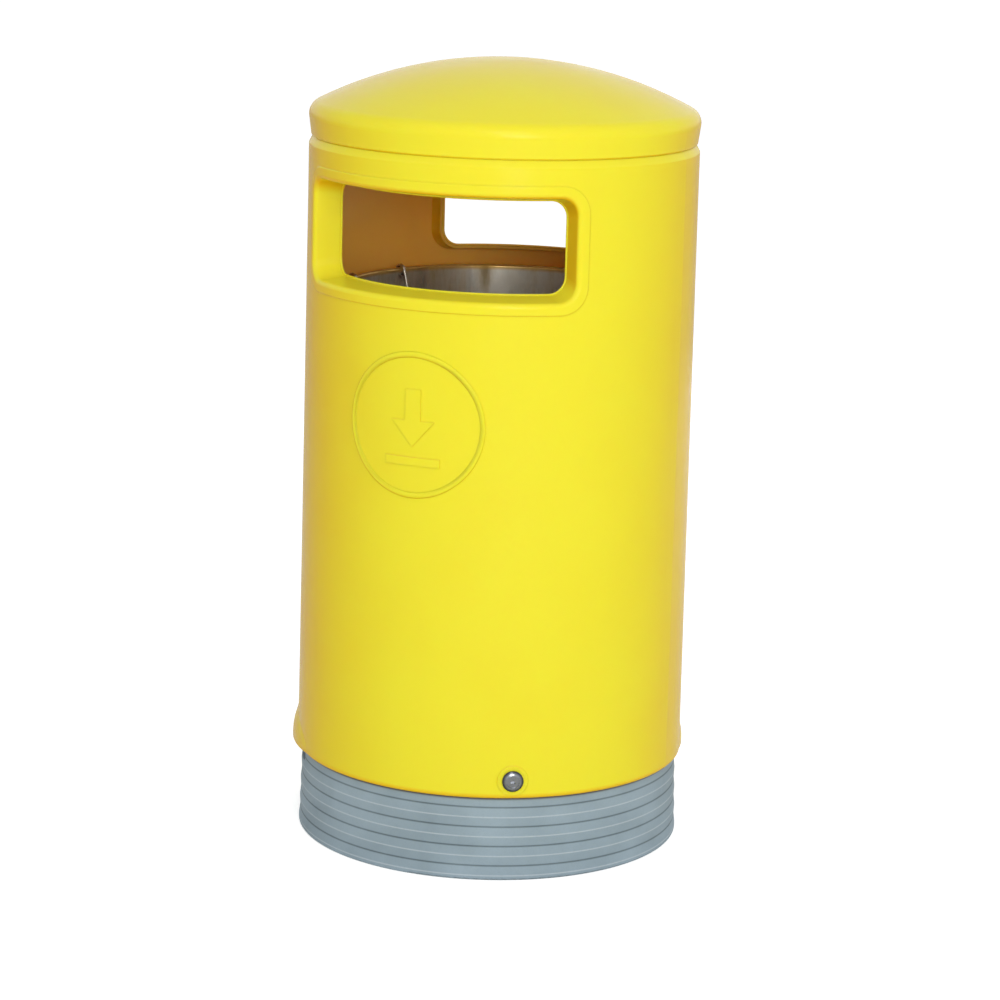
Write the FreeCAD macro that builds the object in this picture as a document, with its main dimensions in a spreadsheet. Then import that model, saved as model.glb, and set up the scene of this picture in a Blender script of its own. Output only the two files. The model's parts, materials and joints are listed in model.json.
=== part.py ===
import FreeCAD, Part
import math
import os
import re
import Sketcher
from FreeCAD import Placement, Rotation, Vector

# Hooded litter bin: a weighted ribbed base, a lift-off moulded shell with two
# opposite mouths and a domed hood, and a galvanised liner with two wire handles.
# The origin is the middle of the underside, +Z is up, the front mouth faces -Y.
# Angles round the bin are counted from the front, towards +X.

doc = FreeCAD.newDocument("hooded_litter_bin")
sheet = doc.addObject("Spreadsheet::Sheet", "sizes")

SIZES = {
    # Base moulding
    "base_height": 111.5,
    "base_foot_radius": 256.5,
    "base_taper": 3.5,
    "base_edge_round": 3.0,
    "base_wall": 7.0,
    "top_band_width": 14.0,
    "foot_band_width": 19.5,
    "rib_depth": 1.2,
    "spigot_inset": 6.0,
    "spigot_height": 48.5,
    "spigot_round": 6.0,
    "dish_rim_width": 49.0,
    "dish_depth": 8.0,
    "dish_round": 3.0,
    "deck_wall": 6.0,
    "deck_ring_width": 41.0,
    "deck_ring_depth": 27.5,
    # Ballast and the bolts that hold it
    "ballast_height": 80.0,
    "ballast_gap": 5.0,
    "ballast_edge": 4.0,
    "pillar_radius": 17.0,
    "bolt_circle_radius": 150.0,
    "ground_hole_radius": 7.0,
    "ballast_bolt_radius": 5.0,
    "bolt_play": 0.5,
    "ballast_head_radius": 10.5,
    "ballast_head_height": 5.0,
    "ballast_recess_radius": 17.0,
    "ballast_recess_depth": 22.0,
    "ballast_washer_radius": 15.0,
    "ballast_washer_thickness": 2.5,
    "ballast_nut_width": 17.0,
    "ballast_nut_height": 8.0,
    "ballast_bolt_show": 3.0,
    # Shell
    "shell_length": 818.9,
    "skirt_overhang": 6.0,
    "shell_taper": 4.0,
    "shell_wall": 5.0,
    "shoulder_height": 9.4,
    "seam_inset": 5.0,
    "skirt_round": 3.5,
    "skirt_play": 2.0,
    "ledge_width": 26.0,
    "ledge_thickness": 6.0,
    # Mouths
    "mouth_depth": 112.2,
    "throat_depth": 35.0,
    "throat_height": 120.0,
    "rim_height": 131.5,
    "throat_corner": 23.0,
    "surround_height": 161.5,
    "surround_corner": 36.0,
    "surround_proud": 1.6,
    "surround_round": 1.2,
    "mouth_edge_round": 6.0,
    # Hand-holds in the skirt
    "grip_proud": 8.5,
    "grip_top_sink": 0.5,
    "grip_radius": 215.0,
    "grip_band_height": 6.5,
    "grip_height": 61.5,
    "scoop_depth": 13.0,
    "scoop_height": 18.0,
    "scoop_round": 8.0,
    # Roundel on the front
    "roundel_height": 480.5,
    "roundel_radius": 90.0,
    "roundel_bead_width": 3.6,
    "emboss_proud": 1.3,
    "arrow_length": 74.0,
    "arrow_head_length": 34.0,
    "arrow_head_width": 60.0,
    "arrow_shaft_width": 22.0,
    "arrow_top_height": 46.0,
    "bar_width": 76.0,
    "bar_height": 11.0,
    "bar_gap": 13.0,
    # Hood
    "hood_height": 104.1,
    "hood_edge_height": 38.2,
    "hood_overhang": 2.0,
    "hood_foot_bevel": 2.2,
    "hood_wall": 5.0,
    "hood_flange_step": 2.0,
    "hood_flange_thickness": 6.0,
    "hood_corner_round": 19.0,
    "hood_bolt_inset": 12.0,
    "insert_radius": 5.0,
    "insert_length": 12.0,
    "insert_boss_radius": 9.0,
    "insert_boss_height": 16.5,
    "hood_bolt_radius": 3.0,
    "hood_bolt_length": 18.0,
    "hood_bolt_head_width": 10.0,
    "hood_bolt_head_height": 4.0,
    "hood_washer_radius": 8.0,
    "hood_washer_thickness": 1.6,
    # Liner
    "liner_height": 581.0,
    "liner_play": 7.0,
    "liner_foot_height": 14.0,
    "liner_taper": 15.8,
    "liner_sheet": 1.0,
    "liner_floor_height": 12.0,
    "drain_radius": 5.0,
    "drain_circle": 120.0,
    "rim_bead_radius": 3.2,
    "rim_wire_radius": 2.1,
    "swage_low_height": 180.0,
    "swage_high_depth": 181.0,
    "swage_width": 22.0,
    "swage_depth": 3.0,
    "seam_lap_width": 22.0,
    "rivet_radius": 1.8,
    "rivet_head_radius": 3.8,
    "rivet_head_height": 1.6,
    "rivet_seat": 0.25,
    "seam_rivet_first_height": 70.0,
    "seam_rivet_last_depth": 61.0,
    # Liner handles
    "handle_wire_radius": 2.0,
    "handle_eye_radius": 6.0,
    "handle_depth": 84.0,
    "handle_corner": 20.0,
    "handle_eye_play": 0.5,
    # Lock, cam and keep
    "lock_height": 24.1,
    "lock_boss_radius": 20.0,
    "lock_boss_proud": 0.6,
    "lock_boss_depth": 9.5,
    "lock_gasket": 1.0,
    "lock_gasket_radius": 13.0,
    "lock_face_radius": 13.75,
    "lock_face_edge": 1.6,
    "lock_face_dome": 4.2,
    "lock_face_bend_radius": 12.5,
    "lock_barrel_radius": 11.0,
    "lock_barrel_length": 28.5,
    "lock_nut_width": 28.0,
    "lock_nut_thickness": 5.0,
    "plug_radius": 6.5,
    "plug_head_radius": 8.0,
    "plug_head_depth": 3.0,
    "plug_sunk": 1.2,
    "key_width": 7.0,
    "key_depth": 4.0,
    "spindle_radius": 4.0,
    "spindle_length": 9.5,
    "cam_gap": 0.5,
    "cam_thickness": 3.0,
    "cam_width": 12.0,
    "cam_length": 32.0,
    "cam_nut_width": 13.0,
    "cam_nut_thickness": 4.5,
    "keep_thickness": 3.0,
    "keep_inset": 14.0,
    "keep_width": 22.0,
    "keep_height": 24.0,
    "keep_lip_width": 22.0,
    "keep_gap": 1.5,
    "keep_rivet_radius": 2.4,
    "keep_rivet_length": 5.5,
    "pocket_left": 20.0,
    "pocket_right": 41.0,
    "pocket_depth": 34.0,
    "pocket_floor_depth": 13.5,
    "pocket_sill_height": 5.0,
    # Clearances
    "fit_play": 0.1,
    "turn_play": 0.08,
    "overrun": 12.0,
    # Angles and counts
    "throat_half_angle": 46.2,
    "surround_half_angle": 49.7,
    "lock_angle": 31.6,
    "grip_from_lock": 107.0,
    "scoop_half_angle": 23.0,
    "handle_angle": 98.9,
    "handle_spread_angle": 15.4,
    "handle_tilt": 14.0,
    "liner_seam_angle": 150.0,
    "bolt_count": 4,
    "hood_bolt_count": 6,
    "drain_count": 5,
    "seam_rivet_count": 6,
    "rib_count": 4,
}

for row, (alias, number) in enumerate(SIZES.items(), 1):
    sheet.set(f"A{row}", str(number))
    sheet.setAlias(f"A{row}", alias)
doc.recompute()

# Sizes that follow from others, each through a named inset, clearance or count
FOLLOWING = {
    "base_top_radius": "(base_foot_radius - base_taper)",
    "spigot_radius": "(base_top_radius - spigot_inset)",
    "dish_radius": "(spigot_radius - dish_rim_width)",
    "pocket_back_radius": "(spigot_radius - pocket_depth)",
    "skirt_flange_radius": "(spigot_radius + skirt_play)",
    "shell_foot_radius": "(base_top_radius + skirt_overhang)",
    "shell_neck_radius": "(shell_foot_radius - shell_taper)",
    "seam_radius": "(shell_neck_radius - seam_inset)",
    "ledge_radius": "(seam_radius - ledge_width)",
    "throat_radius": "(shell_neck_radius - throat_depth)",
    "hood_edge_radius": "(shell_neck_radius + hood_overhang)",
    "hood_foot_radius": "(seam_radius + hood_foot_bevel)",
    "hood_flange_radius": "(ledge_radius + hood_flange_step)",
    "hood_bolt_circle": "(seam_radius - hood_bolt_inset)",
    "liner_foot_radius": "(dish_radius - liner_play)",
    "liner_top_radius": "(liner_foot_radius + liner_taper)",
    "rib_pitch": "((base_height - top_band_width - foot_band_width) / (rib_count - 1))",
    "seam_rivet_spacing":
        "((liner_height - seam_rivet_first_height - seam_rivet_last_depth) / (seam_rivet_count - 1))",
    "handle_span":
        "(2 * (liner_top_radius - liner_sheet + rim_bead_radius) * sin(handle_spread_angle))",
}

# Angles in radians that differ by less are the same
SAME_ANGLE = 1e-6

# Values worked out from the sheet, written as expressions in its aliases
SEAM = "(base_height + shell_length)"
DECK = "(base_height + spigot_height)"
DISH = "(base_height + spigot_height - dish_depth)"
MOUTH = "(base_height + shell_length - mouth_depth)"
CAVITY_ROOF = "(base_height + spigot_height - dish_depth - deck_wall)"
LINER_RIM = "(base_height + spigot_height - dish_depth + liner_height - rim_bead_radius)"
LINER_RIM_RADIUS = "(liner_top_radius - liner_sheet + rim_bead_radius)"
LOCK_HEIGHT = "(base_height + lock_height)"
LOCK_SHELL_RADIUS = (
    "(shell_foot_radius - (shell_foot_radius - shell_neck_radius)"
    " * lock_height / (shell_length - shoulder_height))"
)
LOCK_BOSS_FACE = f"({LOCK_SHELL_RADIUS} + lock_boss_proud)"
LOCK_FACE_BACK = f"({LOCK_BOSS_FACE} + lock_gasket)"
BARREL_END = f"({LOCK_FACE_BACK} - lock_barrel_length)"
CAM_FRONT = f"({BARREL_END} - cam_gap)"


def bound(expression):
    """The expression with each alias written as a cell of the sheet."""
    return re.sub(r"[a-z][a-z_]+", lambda word: in_sheet(word.group()), expression)


def in_sheet(word):
    if word in FOLLOWING:
        return bound(FOLLOWING[word])
    return f"sizes.{word}" if word in SIZES else word


def size(expression):
    """The number that an expression in aliases gives now."""
    return float(sheet.evalExpression(bound(expression)))


def bind(thing, **properties):
    for name, expression in properties.items():
        thing.setExpression(name, bound(expression))
    return thing


# Sketches

def plane_of(body, role):
    return next(item for item in body.Origin.OriginFeatures if item.Role == role)


def new_sketch(body, name, role):
    sketch = body.newObject("Sketcher::SketchObject", name)
    sketch.AttachmentSupport = [(plane_of(body, role), "")]
    sketch.MapMode = "FlatFace"
    return sketch


def fix(sketch, kind, references, name, expression):
    index = sketch.addConstraint(Sketcher.Constraint(kind, *references, size(expression)))
    sketch.renameConstraint(index, name)
    sketch.setExpression(f"Constraints.{name}", bound(expression))


def piece_of_outline(start, end, bend):
    """A line, or an arc of a given radius that bulges to the left (+) or right (-)."""
    if bend is None:
        return Part.LineSegment(start, end)
    radius, side = bend[:2]
    chord = end - start
    half = chord.Length / 2
    sagitta = size(radius) - math.sqrt(max(size(radius) ** 2 - half ** 2, 0))
    left = Vector(-chord.y, chord.x, 0).normalize()
    return Part.Arc(start, (start + end) / 2 + left * side * sagitta, end)


def draw(sketch, corners, bends=None, closed=True):
    """An outline through corners; bends gives the radius and side of curved runs,
    and for a half circle also the height of its centre, which then fixes it."""
    bends = bends or {}
    places = [Vector(size(across), size(up), 0) for across, up in corners]
    runs = len(corners) if closed else len(corners) - 1
    ends = []
    for run in range(runs):
        start, end = places[run], places[(run + 1) % len(places)]
        geometry = sketch.addGeometry(piece_of_outline(start, end, bends.get(run)), False)
        first = sketch.getPoint(geometry, 1)
        flipped = (first - start).Length > (first - end).Length
        ends.append((geometry, 2, 1) if flipped else (geometry, 1, 2))
    for run in range(runs if closed else runs - 1):
        here, after = ends[run], ends[(run + 1) % runs]
        sketch.addConstraint(Sketcher.Constraint("Coincident", here[0], here[2], after[0], after[1]))
    spots = [(geometry, start) for geometry, start, end in ends]
    if not closed:
        spots.append((ends[-1][0], ends[-1][2]))
    tag = f"g{ends[0][0]}"
    for corner, (spot, (across, up)) in enumerate(zip(spots, corners)):
        fix(sketch, "DistanceX", (-1, 1) + spot, f"{tag}x{corner}", across)
        fix(sketch, "DistanceY", (-1, 1) + spot, f"{tag}y{corner}", up)
    for run, (radius, side, *centre) in bends.items():
        if centre:
            fix(sketch, "DistanceY", (-1, 1, ends[run][0], 3), f"{tag}m{run}", centre[0])
        else:
            fix(sketch, "Radius", (ends[run][0],), f"{tag}r{run}", radius)


def draw_circle(sketch, across, up, radius):
    centre = Vector(size(across), size(up), 0)
    circle = sketch.addGeometry(Part.Circle(centre, Vector(0, 0, 1), size(radius)), False)
    fix(sketch, "DistanceX", (-1, 1, circle, 3), f"c{circle}x", across)
    fix(sketch, "DistanceY", (-1, 1, circle, 3), f"c{circle}y", up)
    fix(sketch, "Radius", (circle,), f"c{circle}r", radius)


# Bodies

def new_body(label):
    body = doc.addObject("PartDesign::Body", label)
    body.Label = label
    return body


def revolve(body, sketch, axis="V_Axis", half_angle=None, name="Turned"):
    turned = body.newObject("PartDesign::Revolution", name)
    turned.Profile = sketch
    turned.ReferenceAxis = (sketch, [axis])
    if half_angle:
        turned.Midplane = True
        bind(turned, Angle=f"2 * {half_angle}")
    else:
        turned.Angle = 360
    return turned


def turned_body(label, corners, bends=None, half_angle=None):
    """A body turned about its own Z axis, or a sector of it about +X."""
    body = new_body(label)
    sketch = new_sketch(body, "Profile", "XZ_Plane")
    draw(sketch, corners, bends)
    revolve(body, sketch, half_angle=half_angle)
    doc.recompute()
    return body


def padded_body(label, corners, length, bends=None, role="XY_Plane"):
    body = new_body(label)
    sketch = new_sketch(body, "Profile", role)
    draw(sketch, corners, bends)
    return pad(body, sketch, length)


def pad(body, sketch, length):
    raised = body.newObject("PartDesign::Pad", "Raised")
    raised.Profile = sketch
    bind(raised, Length=length)
    doc.recompute()
    return body


def round_edges(body, edges, radius):
    """Round the edges of the body's last feature that the test picks."""
    last = body.Tip
    names = [f"Edge{n}" for n, edge in enumerate(last.Shape.Edges, 1) if edges(edge)]
    if not names:
        raise ValueError(f"{body.Label}: no edge to round")
    rounded = body.newObject("PartDesign::Fillet", "Rounded")
    rounded.Base = (last, names)
    bind(rounded, Radius=radius)
    doc.recompute()
    return body


def ring_edge(radius, height):
    """Test for a circular edge about Z of that radius and height."""
    wanted, level = size(radius), size(height)
    near = size("fit_play") / 10

    def test(edge):
        if edge.Degenerated or not isinstance(edge.Curve, Part.Circle):
            return False
        lies = abs(edge.Curve.Center.z - level) < near
        return lies and abs(edge.Curve.Radius - wanted) < near
    return test


def radial_edge(edge):
    """Test for the four edges where a sector's sides meet its top and bottom."""
    first, last = edge.Vertexes[0].Point, edge.Vertexes[-1].Point
    turn = math.atan2(first.y, first.x) - math.atan2(last.y, last.x)
    run = math.hypot(*first[:2]) - math.hypot(*last[:2])
    return abs(turn) < SAME_ANGLE and abs(run) > size("overrun") / 2


# Joined and cut pieces

def joined(label, *pieces):
    whole = doc.addObject("Part::MultiFuse", label)
    whole.Label = label
    whole.Shapes = list(pieces)
    return whole


def cut(label, base, *tools):
    tool = tools[0] if len(tools) == 1 else joined(f"{label}_cuts", *tools)
    whole = doc.addObject("Part::Cut", label)
    whole.Label = label
    whole.Base = base
    whole.Tool = tool
    return whole


def overlap(label, one, other):
    whole = doc.addObject("Part::Common", label)
    whole.Label = label
    whole.Base = one
    whole.Tool = other
    return whole


def cylinder(label, radius, height, place=None):
    solid = doc.addObject("Part::Cylinder", label)
    solid.Label = label
    bind(solid, Radius=radius, Height=height)
    solid.Placement = place or Placement()
    return solid


def block(label, length, width, height, place):
    solid = doc.addObject("Part::Box", label)
    solid.Label = label
    bind(solid, Length=length, Width=width, Height=height)
    solid.Placement = place
    return solid


def nut_body(label, width, hole, thickness):
    """A hexagon across flats with a round hole, on the XY plane."""
    body = new_body(label)
    sketch = new_sketch(body, "Profile", "XY_Plane")
    reach = f"({width} / sqrt(3))"
    turns = [(f"{reach} * cos({60 * k})", f"{reach} * sin({60 * k})") for k in range(6)]
    draw(sketch, turns)
    if hole:
        draw_circle(sketch, "0", "0", hole)
    return pad(body, sketch, thickness)


def copies(label, piece, places):
    """One node made of separate equal solids."""
    group = doc.addObject("Part::Feature", label)
    group.Label = label
    solids = []
    for place in places:
        solid = piece.Shape.copy()
        solid.Placement = place.multiply(piece.Placement)
        solids.append(solid)
    group.Shape = Part.Compound(solids)
    return group


def turned_copy(label, piece, angle):
    """The same piece again, turned about the bin's axis."""
    copy = doc.addObject("Part::Feature", label)
    copy.Label = label
    copy.Shape = piece.Shape
    copy.Placement = Placement(Vector(), Rotation(Vector(0, 0, 1), angle)).multiply(piece.Placement)
    return copy


# Places round the bin

def at_angle(angle):
    """A piece drawn about +X, turned to its angle from the front."""
    return Placement(Vector(), Rotation(Vector(0, 0, 1), angle - 90))


def ring_places(count, radius, height, first_angle):
    step = 360 / count
    places = []
    for k in range(count):
        turn = Rotation(Vector(0, 0, 1), first_angle + k * step - 90)
        places.append(Placement(turn.multVec(Vector(radius, 0, height)), turn))
    return places


def facing_out(angle, height):
    """Local Z points out of the bin, local X to the right of it and local Y up."""
    sine, cosine = math.sin(math.radians(angle)), math.cos(math.radians(angle))
    across, up, out = Vector(cosine, sine, 0), Vector(0, 0, 1), Vector(sine, -cosine, 0)
    return Placement(Vector(0, 0, height), Rotation(across, up, out, "ZYX"))


PARTS = []


def keep(piece):
    """Count the piece among those that are written out."""
    PARTS.append(piece)
    return piece


# Base moulding: ribbed wall, shoulder, spigot and a dish that holds the liner

def rib_corners():
    """The zigzag of the ribbed wall, from the foot to the shoulder."""
    flare = "(base_foot_radius - base_top_radius)"
    corners = []
    for k in range(int(size("rib_count"))):
        valley = f"(foot_band_width + {k} * rib_pitch)"
        ridge = f"({valley} + rib_pitch / 2)"
        wall = f"(base_foot_radius - {flare} * {{}} / base_height)"
        corners.append((wall.format(valley) + " - rib_depth", valley))
        if k < size("rib_count") - 1:
            corners.append((wall.format(ridge), ridge))
    return corners


def make_base():
    outer = turned_body("base_outer", [
        ("0", "0"),
        ("base_foot_radius", "0"),
        ("base_foot_radius", "foot_band_width - rib_pitch / 2"),
        *rib_corners(),
        ("base_top_radius", "base_height"),
        ("spigot_radius", "base_height"),
        ("spigot_radius", DECK),
        ("dish_radius", DECK),
        ("dish_radius", DISH),
        ("0", DISH),
    ])
    round_edges(outer, ring_edge("base_foot_radius", "0"), "base_edge_round")
    round_edges(outer, ring_edge("spigot_radius", DECK), "spigot_round")
    round_edges(outer, ring_edge("dish_radius", DECK), "dish_round")
    inner = "(base_top_radius - rib_depth - base_wall)"
    ring_floor = "(base_height - deck_ring_depth)"
    cavity = turned_body("base_cavity", [
        ("0", "-overrun"),
        (inner, "-overrun"),
        (inner, ring_floor),
        ("spigot_radius - deck_ring_width", ring_floor),
        ("spigot_radius - deck_ring_width", CAVITY_ROOF),
        ("0", CAVITY_ROOF),
    ])
    pillar = cylinder("pillar", "pillar_radius", f"{CAVITY_ROOF} - ballast_height + deck_wall / 2")
    doc.recompute()
    count = int(size("bolt_count"))
    radius = size("bolt_circle_radius")
    ground_places = ring_places(count, radius, 0, 0)
    bolt_places = ring_places(count, radius, 0, 180 / count)
    pillar_foot = Placement(Vector(0, 0, size("ballast_height")), Rotation())
    pillars = copies("pillars", pillar, [p.multiply(pillar_foot) for p in ground_places + bolt_places])
    ground_hole = cylinder("ground_hole", "ground_hole_radius", f"{DECK} + 2 * overrun")
    bolt_hole = cylinder("bolt_hole", "ballast_bolt_radius + bolt_play", f"{DECK} + 2 * overrun")
    doc.recompute()
    below = Placement(Vector(0, 0, -size("overrun")), Rotation())
    ground_holes = copies("ground_holes", ground_hole, [p.multiply(below) for p in ground_places])
    bolt_holes = copies("bolt_holes", bolt_hole, [p.multiply(below) for p in bolt_places])
    pocket = make_lock_pocket()
    scoops = make_scoops()
    hollow = cut("base_hollow", outer, cavity, *pocket, *scoops)
    walls = joined("base_walls", hollow, pillars)
    keep(cut("base_moulding", walls, ground_holes, bolt_holes, make_keep_holes()))
    make_ballast(ground_places, bolt_places, ground_holes, bolt_holes)


def make_lock_pocket():
    """An open-topped pocket behind the lock, with a sill on the shoulder's side."""
    place = facing_out(size("lock_angle"), 0)
    depth = "(spigot_radius - base_wall - pocket_back_radius)"
    floor = "(base_height - pocket_floor_depth)"
    low = Vector(-size("pocket_left"), size(floor), size("pocket_back_radius"))
    deep = block("pocket_deep", "pocket_left + pocket_right", f"{DECK} + overrun - {floor}", depth,
                 place.multiply(Placement(low, Rotation())))
    sill = "(base_height + pocket_sill_height)"
    high = Vector(-size("pocket_left"), size(sill), size("spigot_radius - base_wall - overrun / 2"))
    mouth = block("pocket_mouth", "pocket_left + pocket_right", f"{DECK} + overrun - {sill}",
                  "base_wall + overrun", place.multiply(Placement(high, Rotation())))
    return deep, mouth


def make_scoops():
    """Finger recesses in the shoulder, below each hand-hold of the skirt."""
    floor = "(base_height - scoop_height)"
    scoop = turned_body("scoop", [
        ("base_top_radius - scoop_depth", floor),
        ("base_foot_radius + overrun", f"{floor} - scoop_height / 4"),
        ("base_foot_radius + overrun", "base_height + overrun / 4"),
        ("base_top_radius - scoop_depth", "base_height + overrun / 4"),
    ], half_angle="scoop_half_angle")
    round_edges(scoop, lambda edge: radial_edge(edge) and edge.BoundBox.ZMax < size("base_height"),
                "scoop_round")
    angles = grip_angles()
    scoop.Placement = at_angle(angles[0])
    return scoop, turned_copy("scoop_rear", scoop, angles[1] - angles[0])


def grip_angles():
    return [size("lock_angle - grip_from_lock"), size("lock_angle + grip_from_lock")]


def make_ballast(ground_places, bolt_places, ground_holes, bolt_holes):
    radius = "(base_top_radius - rib_depth - base_wall - ballast_gap)"
    slab = turned_body("ballast_slab", [
        ("0", "0"),
        (radius, "0"),
        (radius, "ballast_height - ballast_edge"),
        (f"{radius} - ballast_edge", "ballast_height"),
        ("0", "ballast_height"),
    ])
    recess = cylinder("ballast_recess", "ballast_recess_radius", "ballast_recess_depth + overrun")
    doc.recompute()
    below = Placement(Vector(0, 0, -size("overrun")), Rotation())
    recesses = copies("ballast_recesses", recess, [p.multiply(below) for p in bolt_places])
    keep(cut("ballast_block", slab, ground_holes, bolt_holes, recesses))
    under = "(ballast_recess_depth - ballast_washer_thickness)"
    foot = f"({under} - ballast_nut_height - ballast_bolt_show)"
    bolt = turned_body("ballast_bolt", [
        ("0", foot),
        ("ballast_bolt_radius", foot),
        ("ballast_bolt_radius", DISH),
        ("ballast_head_radius", DISH),
        ("0", f"{DISH} + ballast_head_height"),
    ], bends={3: ("(ballast_head_radius ^ 2 + ballast_head_height ^ 2) / (2 * ballast_head_height)", -1)})
    keep(copies("ballast_bolts", bolt, bolt_places))
    washer = turned_body("ballast_washer", [
        ("ballast_bolt_radius + fit_play", under),
        ("ballast_washer_radius", under),
        ("ballast_washer_radius", "ballast_recess_depth"),
        ("ballast_bolt_radius + fit_play", "ballast_recess_depth"),
    ])
    keep(copies("ballast_washers", washer, bolt_places))
    nut = nut_body("ballast_nut", "ballast_nut_width", "ballast_bolt_radius + fit_play", "ballast_nut_height")
    nut.Placement = Placement(Vector(0, 0, size(f"{under} - ballast_nut_height")), Rotation())
    keep(copies("ballast_nuts", nut, bolt_places))


# Keep for the lock's cam, riveted to the back of the pocket

def keep_rivet_spots():
    middle = size("keep_inset + keep_width / 2")
    top = size(f"{LOCK_HEIGHT} + cam_width / 2 + keep_gap")
    spread = size("keep_height / 3")
    return [(middle, top - spread), (middle, top - 2 * spread)]


def make_keep_holes():
    hole = cylinder("keep_hole", "keep_rivet_radius + fit_play", "keep_rivet_length + keep_thickness")
    doc.recompute()
    inner = size("pocket_back_radius - keep_rivet_length")
    return copies("keep_holes", hole, keep_rivet_places(inner))


def keep_rivet_places(distance):
    place = facing_out(size("lock_angle"), 0)
    spots = keep_rivet_spots()
    return [place.multiply(Placement(Vector(x, y, distance), Rotation())) for x, y in spots]


def make_keep():
    top = f"({LOCK_HEIGHT} + cam_width / 2 + keep_gap + keep_thickness)"
    back = "pocket_back_radius"
    angle_iron = padded_body("keep_angle", [
        (back, f"{top} - keep_height"),
        (f"{back} + keep_thickness", f"{top} - keep_height"),
        (f"{back} + keep_thickness", f"{top} - keep_thickness"),
        (f"{back} + keep_lip_width", f"{top} - keep_thickness"),
        (f"{back} + keep_lip_width", top),
        (back, top),
    ], "keep_width", role="XZ_Plane")
    turn = Rotation(Vector(0, 0, 1), size("lock_angle") - 90)
    side = turn.multVec(Vector(0, size("keep_inset + keep_width"), 0))
    angle_iron.Placement = Placement(side, turn)
    keep(cut("lock_keep", angle_iron, make_keep_holes_through()))
    shank = "keep_rivet_radius"
    head = "(2 * keep_rivet_radius)"
    rivet = turned_body("keep_rivet", [
        ("0", "0"),
        (shank, "0"),
        (shank, "keep_rivet_length + keep_thickness"),
        (head, "keep_rivet_length + keep_thickness"),
        ("0", "keep_rivet_length + keep_thickness + keep_rivet_radius"),
    ])
    keep(copies("keep_rivets", rivet, keep_rivet_places(size("pocket_back_radius - keep_rivet_length"))))


def make_keep_holes_through():
    hole = cylinder("keep_plate_hole", "keep_rivet_radius + fit_play", "keep_thickness + overrun")
    doc.recompute()
    return copies("keep_plate_holes", hole, keep_rivet_places(size("pocket_back_radius - overrun / 2")))


# Shell: a flared tube with a skirt flange, a ledge for the hood and two mouths

def wall_radius(height):
    """The shell's outer radius at a height above the floor."""
    share = f"(({height} - base_height) / (shell_length - shoulder_height))"
    return f"(shell_foot_radius - (shell_foot_radius - shell_neck_radius) * {share})"


def make_shell():
    outer = turned_body("shell_outer", [
        ("0", "base_height"),
        ("shell_foot_radius", "base_height"),
        ("shell_neck_radius", f"{SEAM} - shoulder_height"),
        ("seam_radius", SEAM),
        ("0", SEAM),
    ])
    round_edges(outer, ring_edge("shell_foot_radius", "base_height"), "skirt_round")
    ledge = f"({SEAM} - ledge_thickness)"
    cavity = turned_body("shell_cavity", [
        ("0", "base_height - overrun"),
        ("skirt_flange_radius", "base_height - overrun"),
        ("skirt_flange_radius", "base_height + shell_wall"),
        ("shell_foot_radius - shell_wall", "base_height + shell_wall"),
        ("shell_neck_radius - shell_wall", ledge),
        ("ledge_radius", ledge),
        ("ledge_radius", f"{SEAM} + overrun"),
        ("0", f"{SEAM} + overrun"),
    ])
    grips = make_grip("grip_outer", "0", "base_height")
    grip_cavities = make_grip("grip_cavity", "shell_wall", "base_height - overrun")
    surround = make_surround()
    solid = joined("shell_solid", outer, *grips, *surround, make_emboss())
    tube = cut("shell_tube", solid, cavity, *grip_cavities)
    whole = joined("shell_whole", tube, *make_funnels(), make_lock_boss())
    holes = [*make_mouths(), make_lock_hole(), make_ledge_holes()]
    rough = cut("shell_rough", whole, *holes)
    doc.recompute()
    keep(soften("body_shell", rough, mouth_edges(rough.Shape), "mouth_edge_round"))


def make_grip(label, inset, foot):
    """Both hand-hold bulges, turned about an axis nearer the skirt than the bin's own."""
    bottom = f"(grip_radius - {inset})"
    top = f"(grip_radius - grip_proud - grip_top_sink - {inset})"
    swell = f"(({bottom} - {top}) / 2)"
    rise = "((grip_height - grip_band_height) / 2)"
    bend = f"({rise} ^ 2 + {swell} ^ 2) / (2 * {swell})"
    grip = turned_body(label, [
        ("0", foot),
        (bottom, foot),
        (bottom, "base_height + grip_band_height"),
        (f"{bottom} - {swell}", f"base_height + grip_band_height + {rise}"),
        (top, "base_height + grip_height"),
        ("0", "base_height + grip_height"),
    ], bends={2: (bend, -1), 3: (bend, 1)})
    if inset == "0":
        round_edges(grip, ring_edge(bottom, foot), "skirt_round")
    reach = size("shell_foot_radius + grip_proud - grip_radius")
    angles = grip_angles()
    grip.Placement = at_angle(angles[0]).multiply(Placement(Vector(reach, 0, 0), Rotation()))
    doc.recompute()
    return grip, turned_copy(f"{label}_rear", grip, angles[1] - angles[0])


def make_surround():
    """The raised frame round each mouth: a sector with rounded corners, cut off
    at a skin a little outside the shell's wall."""
    low = f"({MOUTH} - surround_height / 2)"
    high = f"({MOUTH} + surround_height / 2)"
    inner = "(shell_neck_radius - 2 * shell_wall - overrun)"
    outer = "(shell_foot_radius + overrun)"
    frame = turned_body("surround_sector", [
        (inner, low),
        (outer, low),
        (outer, high),
        (inner, high),
    ], half_angle="surround_half_angle")
    round_edges(frame, radial_edge, "surround_corner")
    skin = turned_body("surround_skin", proud_skin(
        f"({low} - overrun)", f"({high} + overrun)", "surround_proud"))
    frame.Placement = at_angle(0)
    front = overlap("surround_front", frame, skin)
    doc.recompute()
    face = size(wall_radius(high))
    edges = [n for n, edge in enumerate(front.Shape.Edges, 1) if outer_edge(edge, face)]
    rounded = soften("surround", front, edges, "surround_round")
    doc.recompute()
    return rounded, turned_copy("surround_back", rounded, 180)


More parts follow.
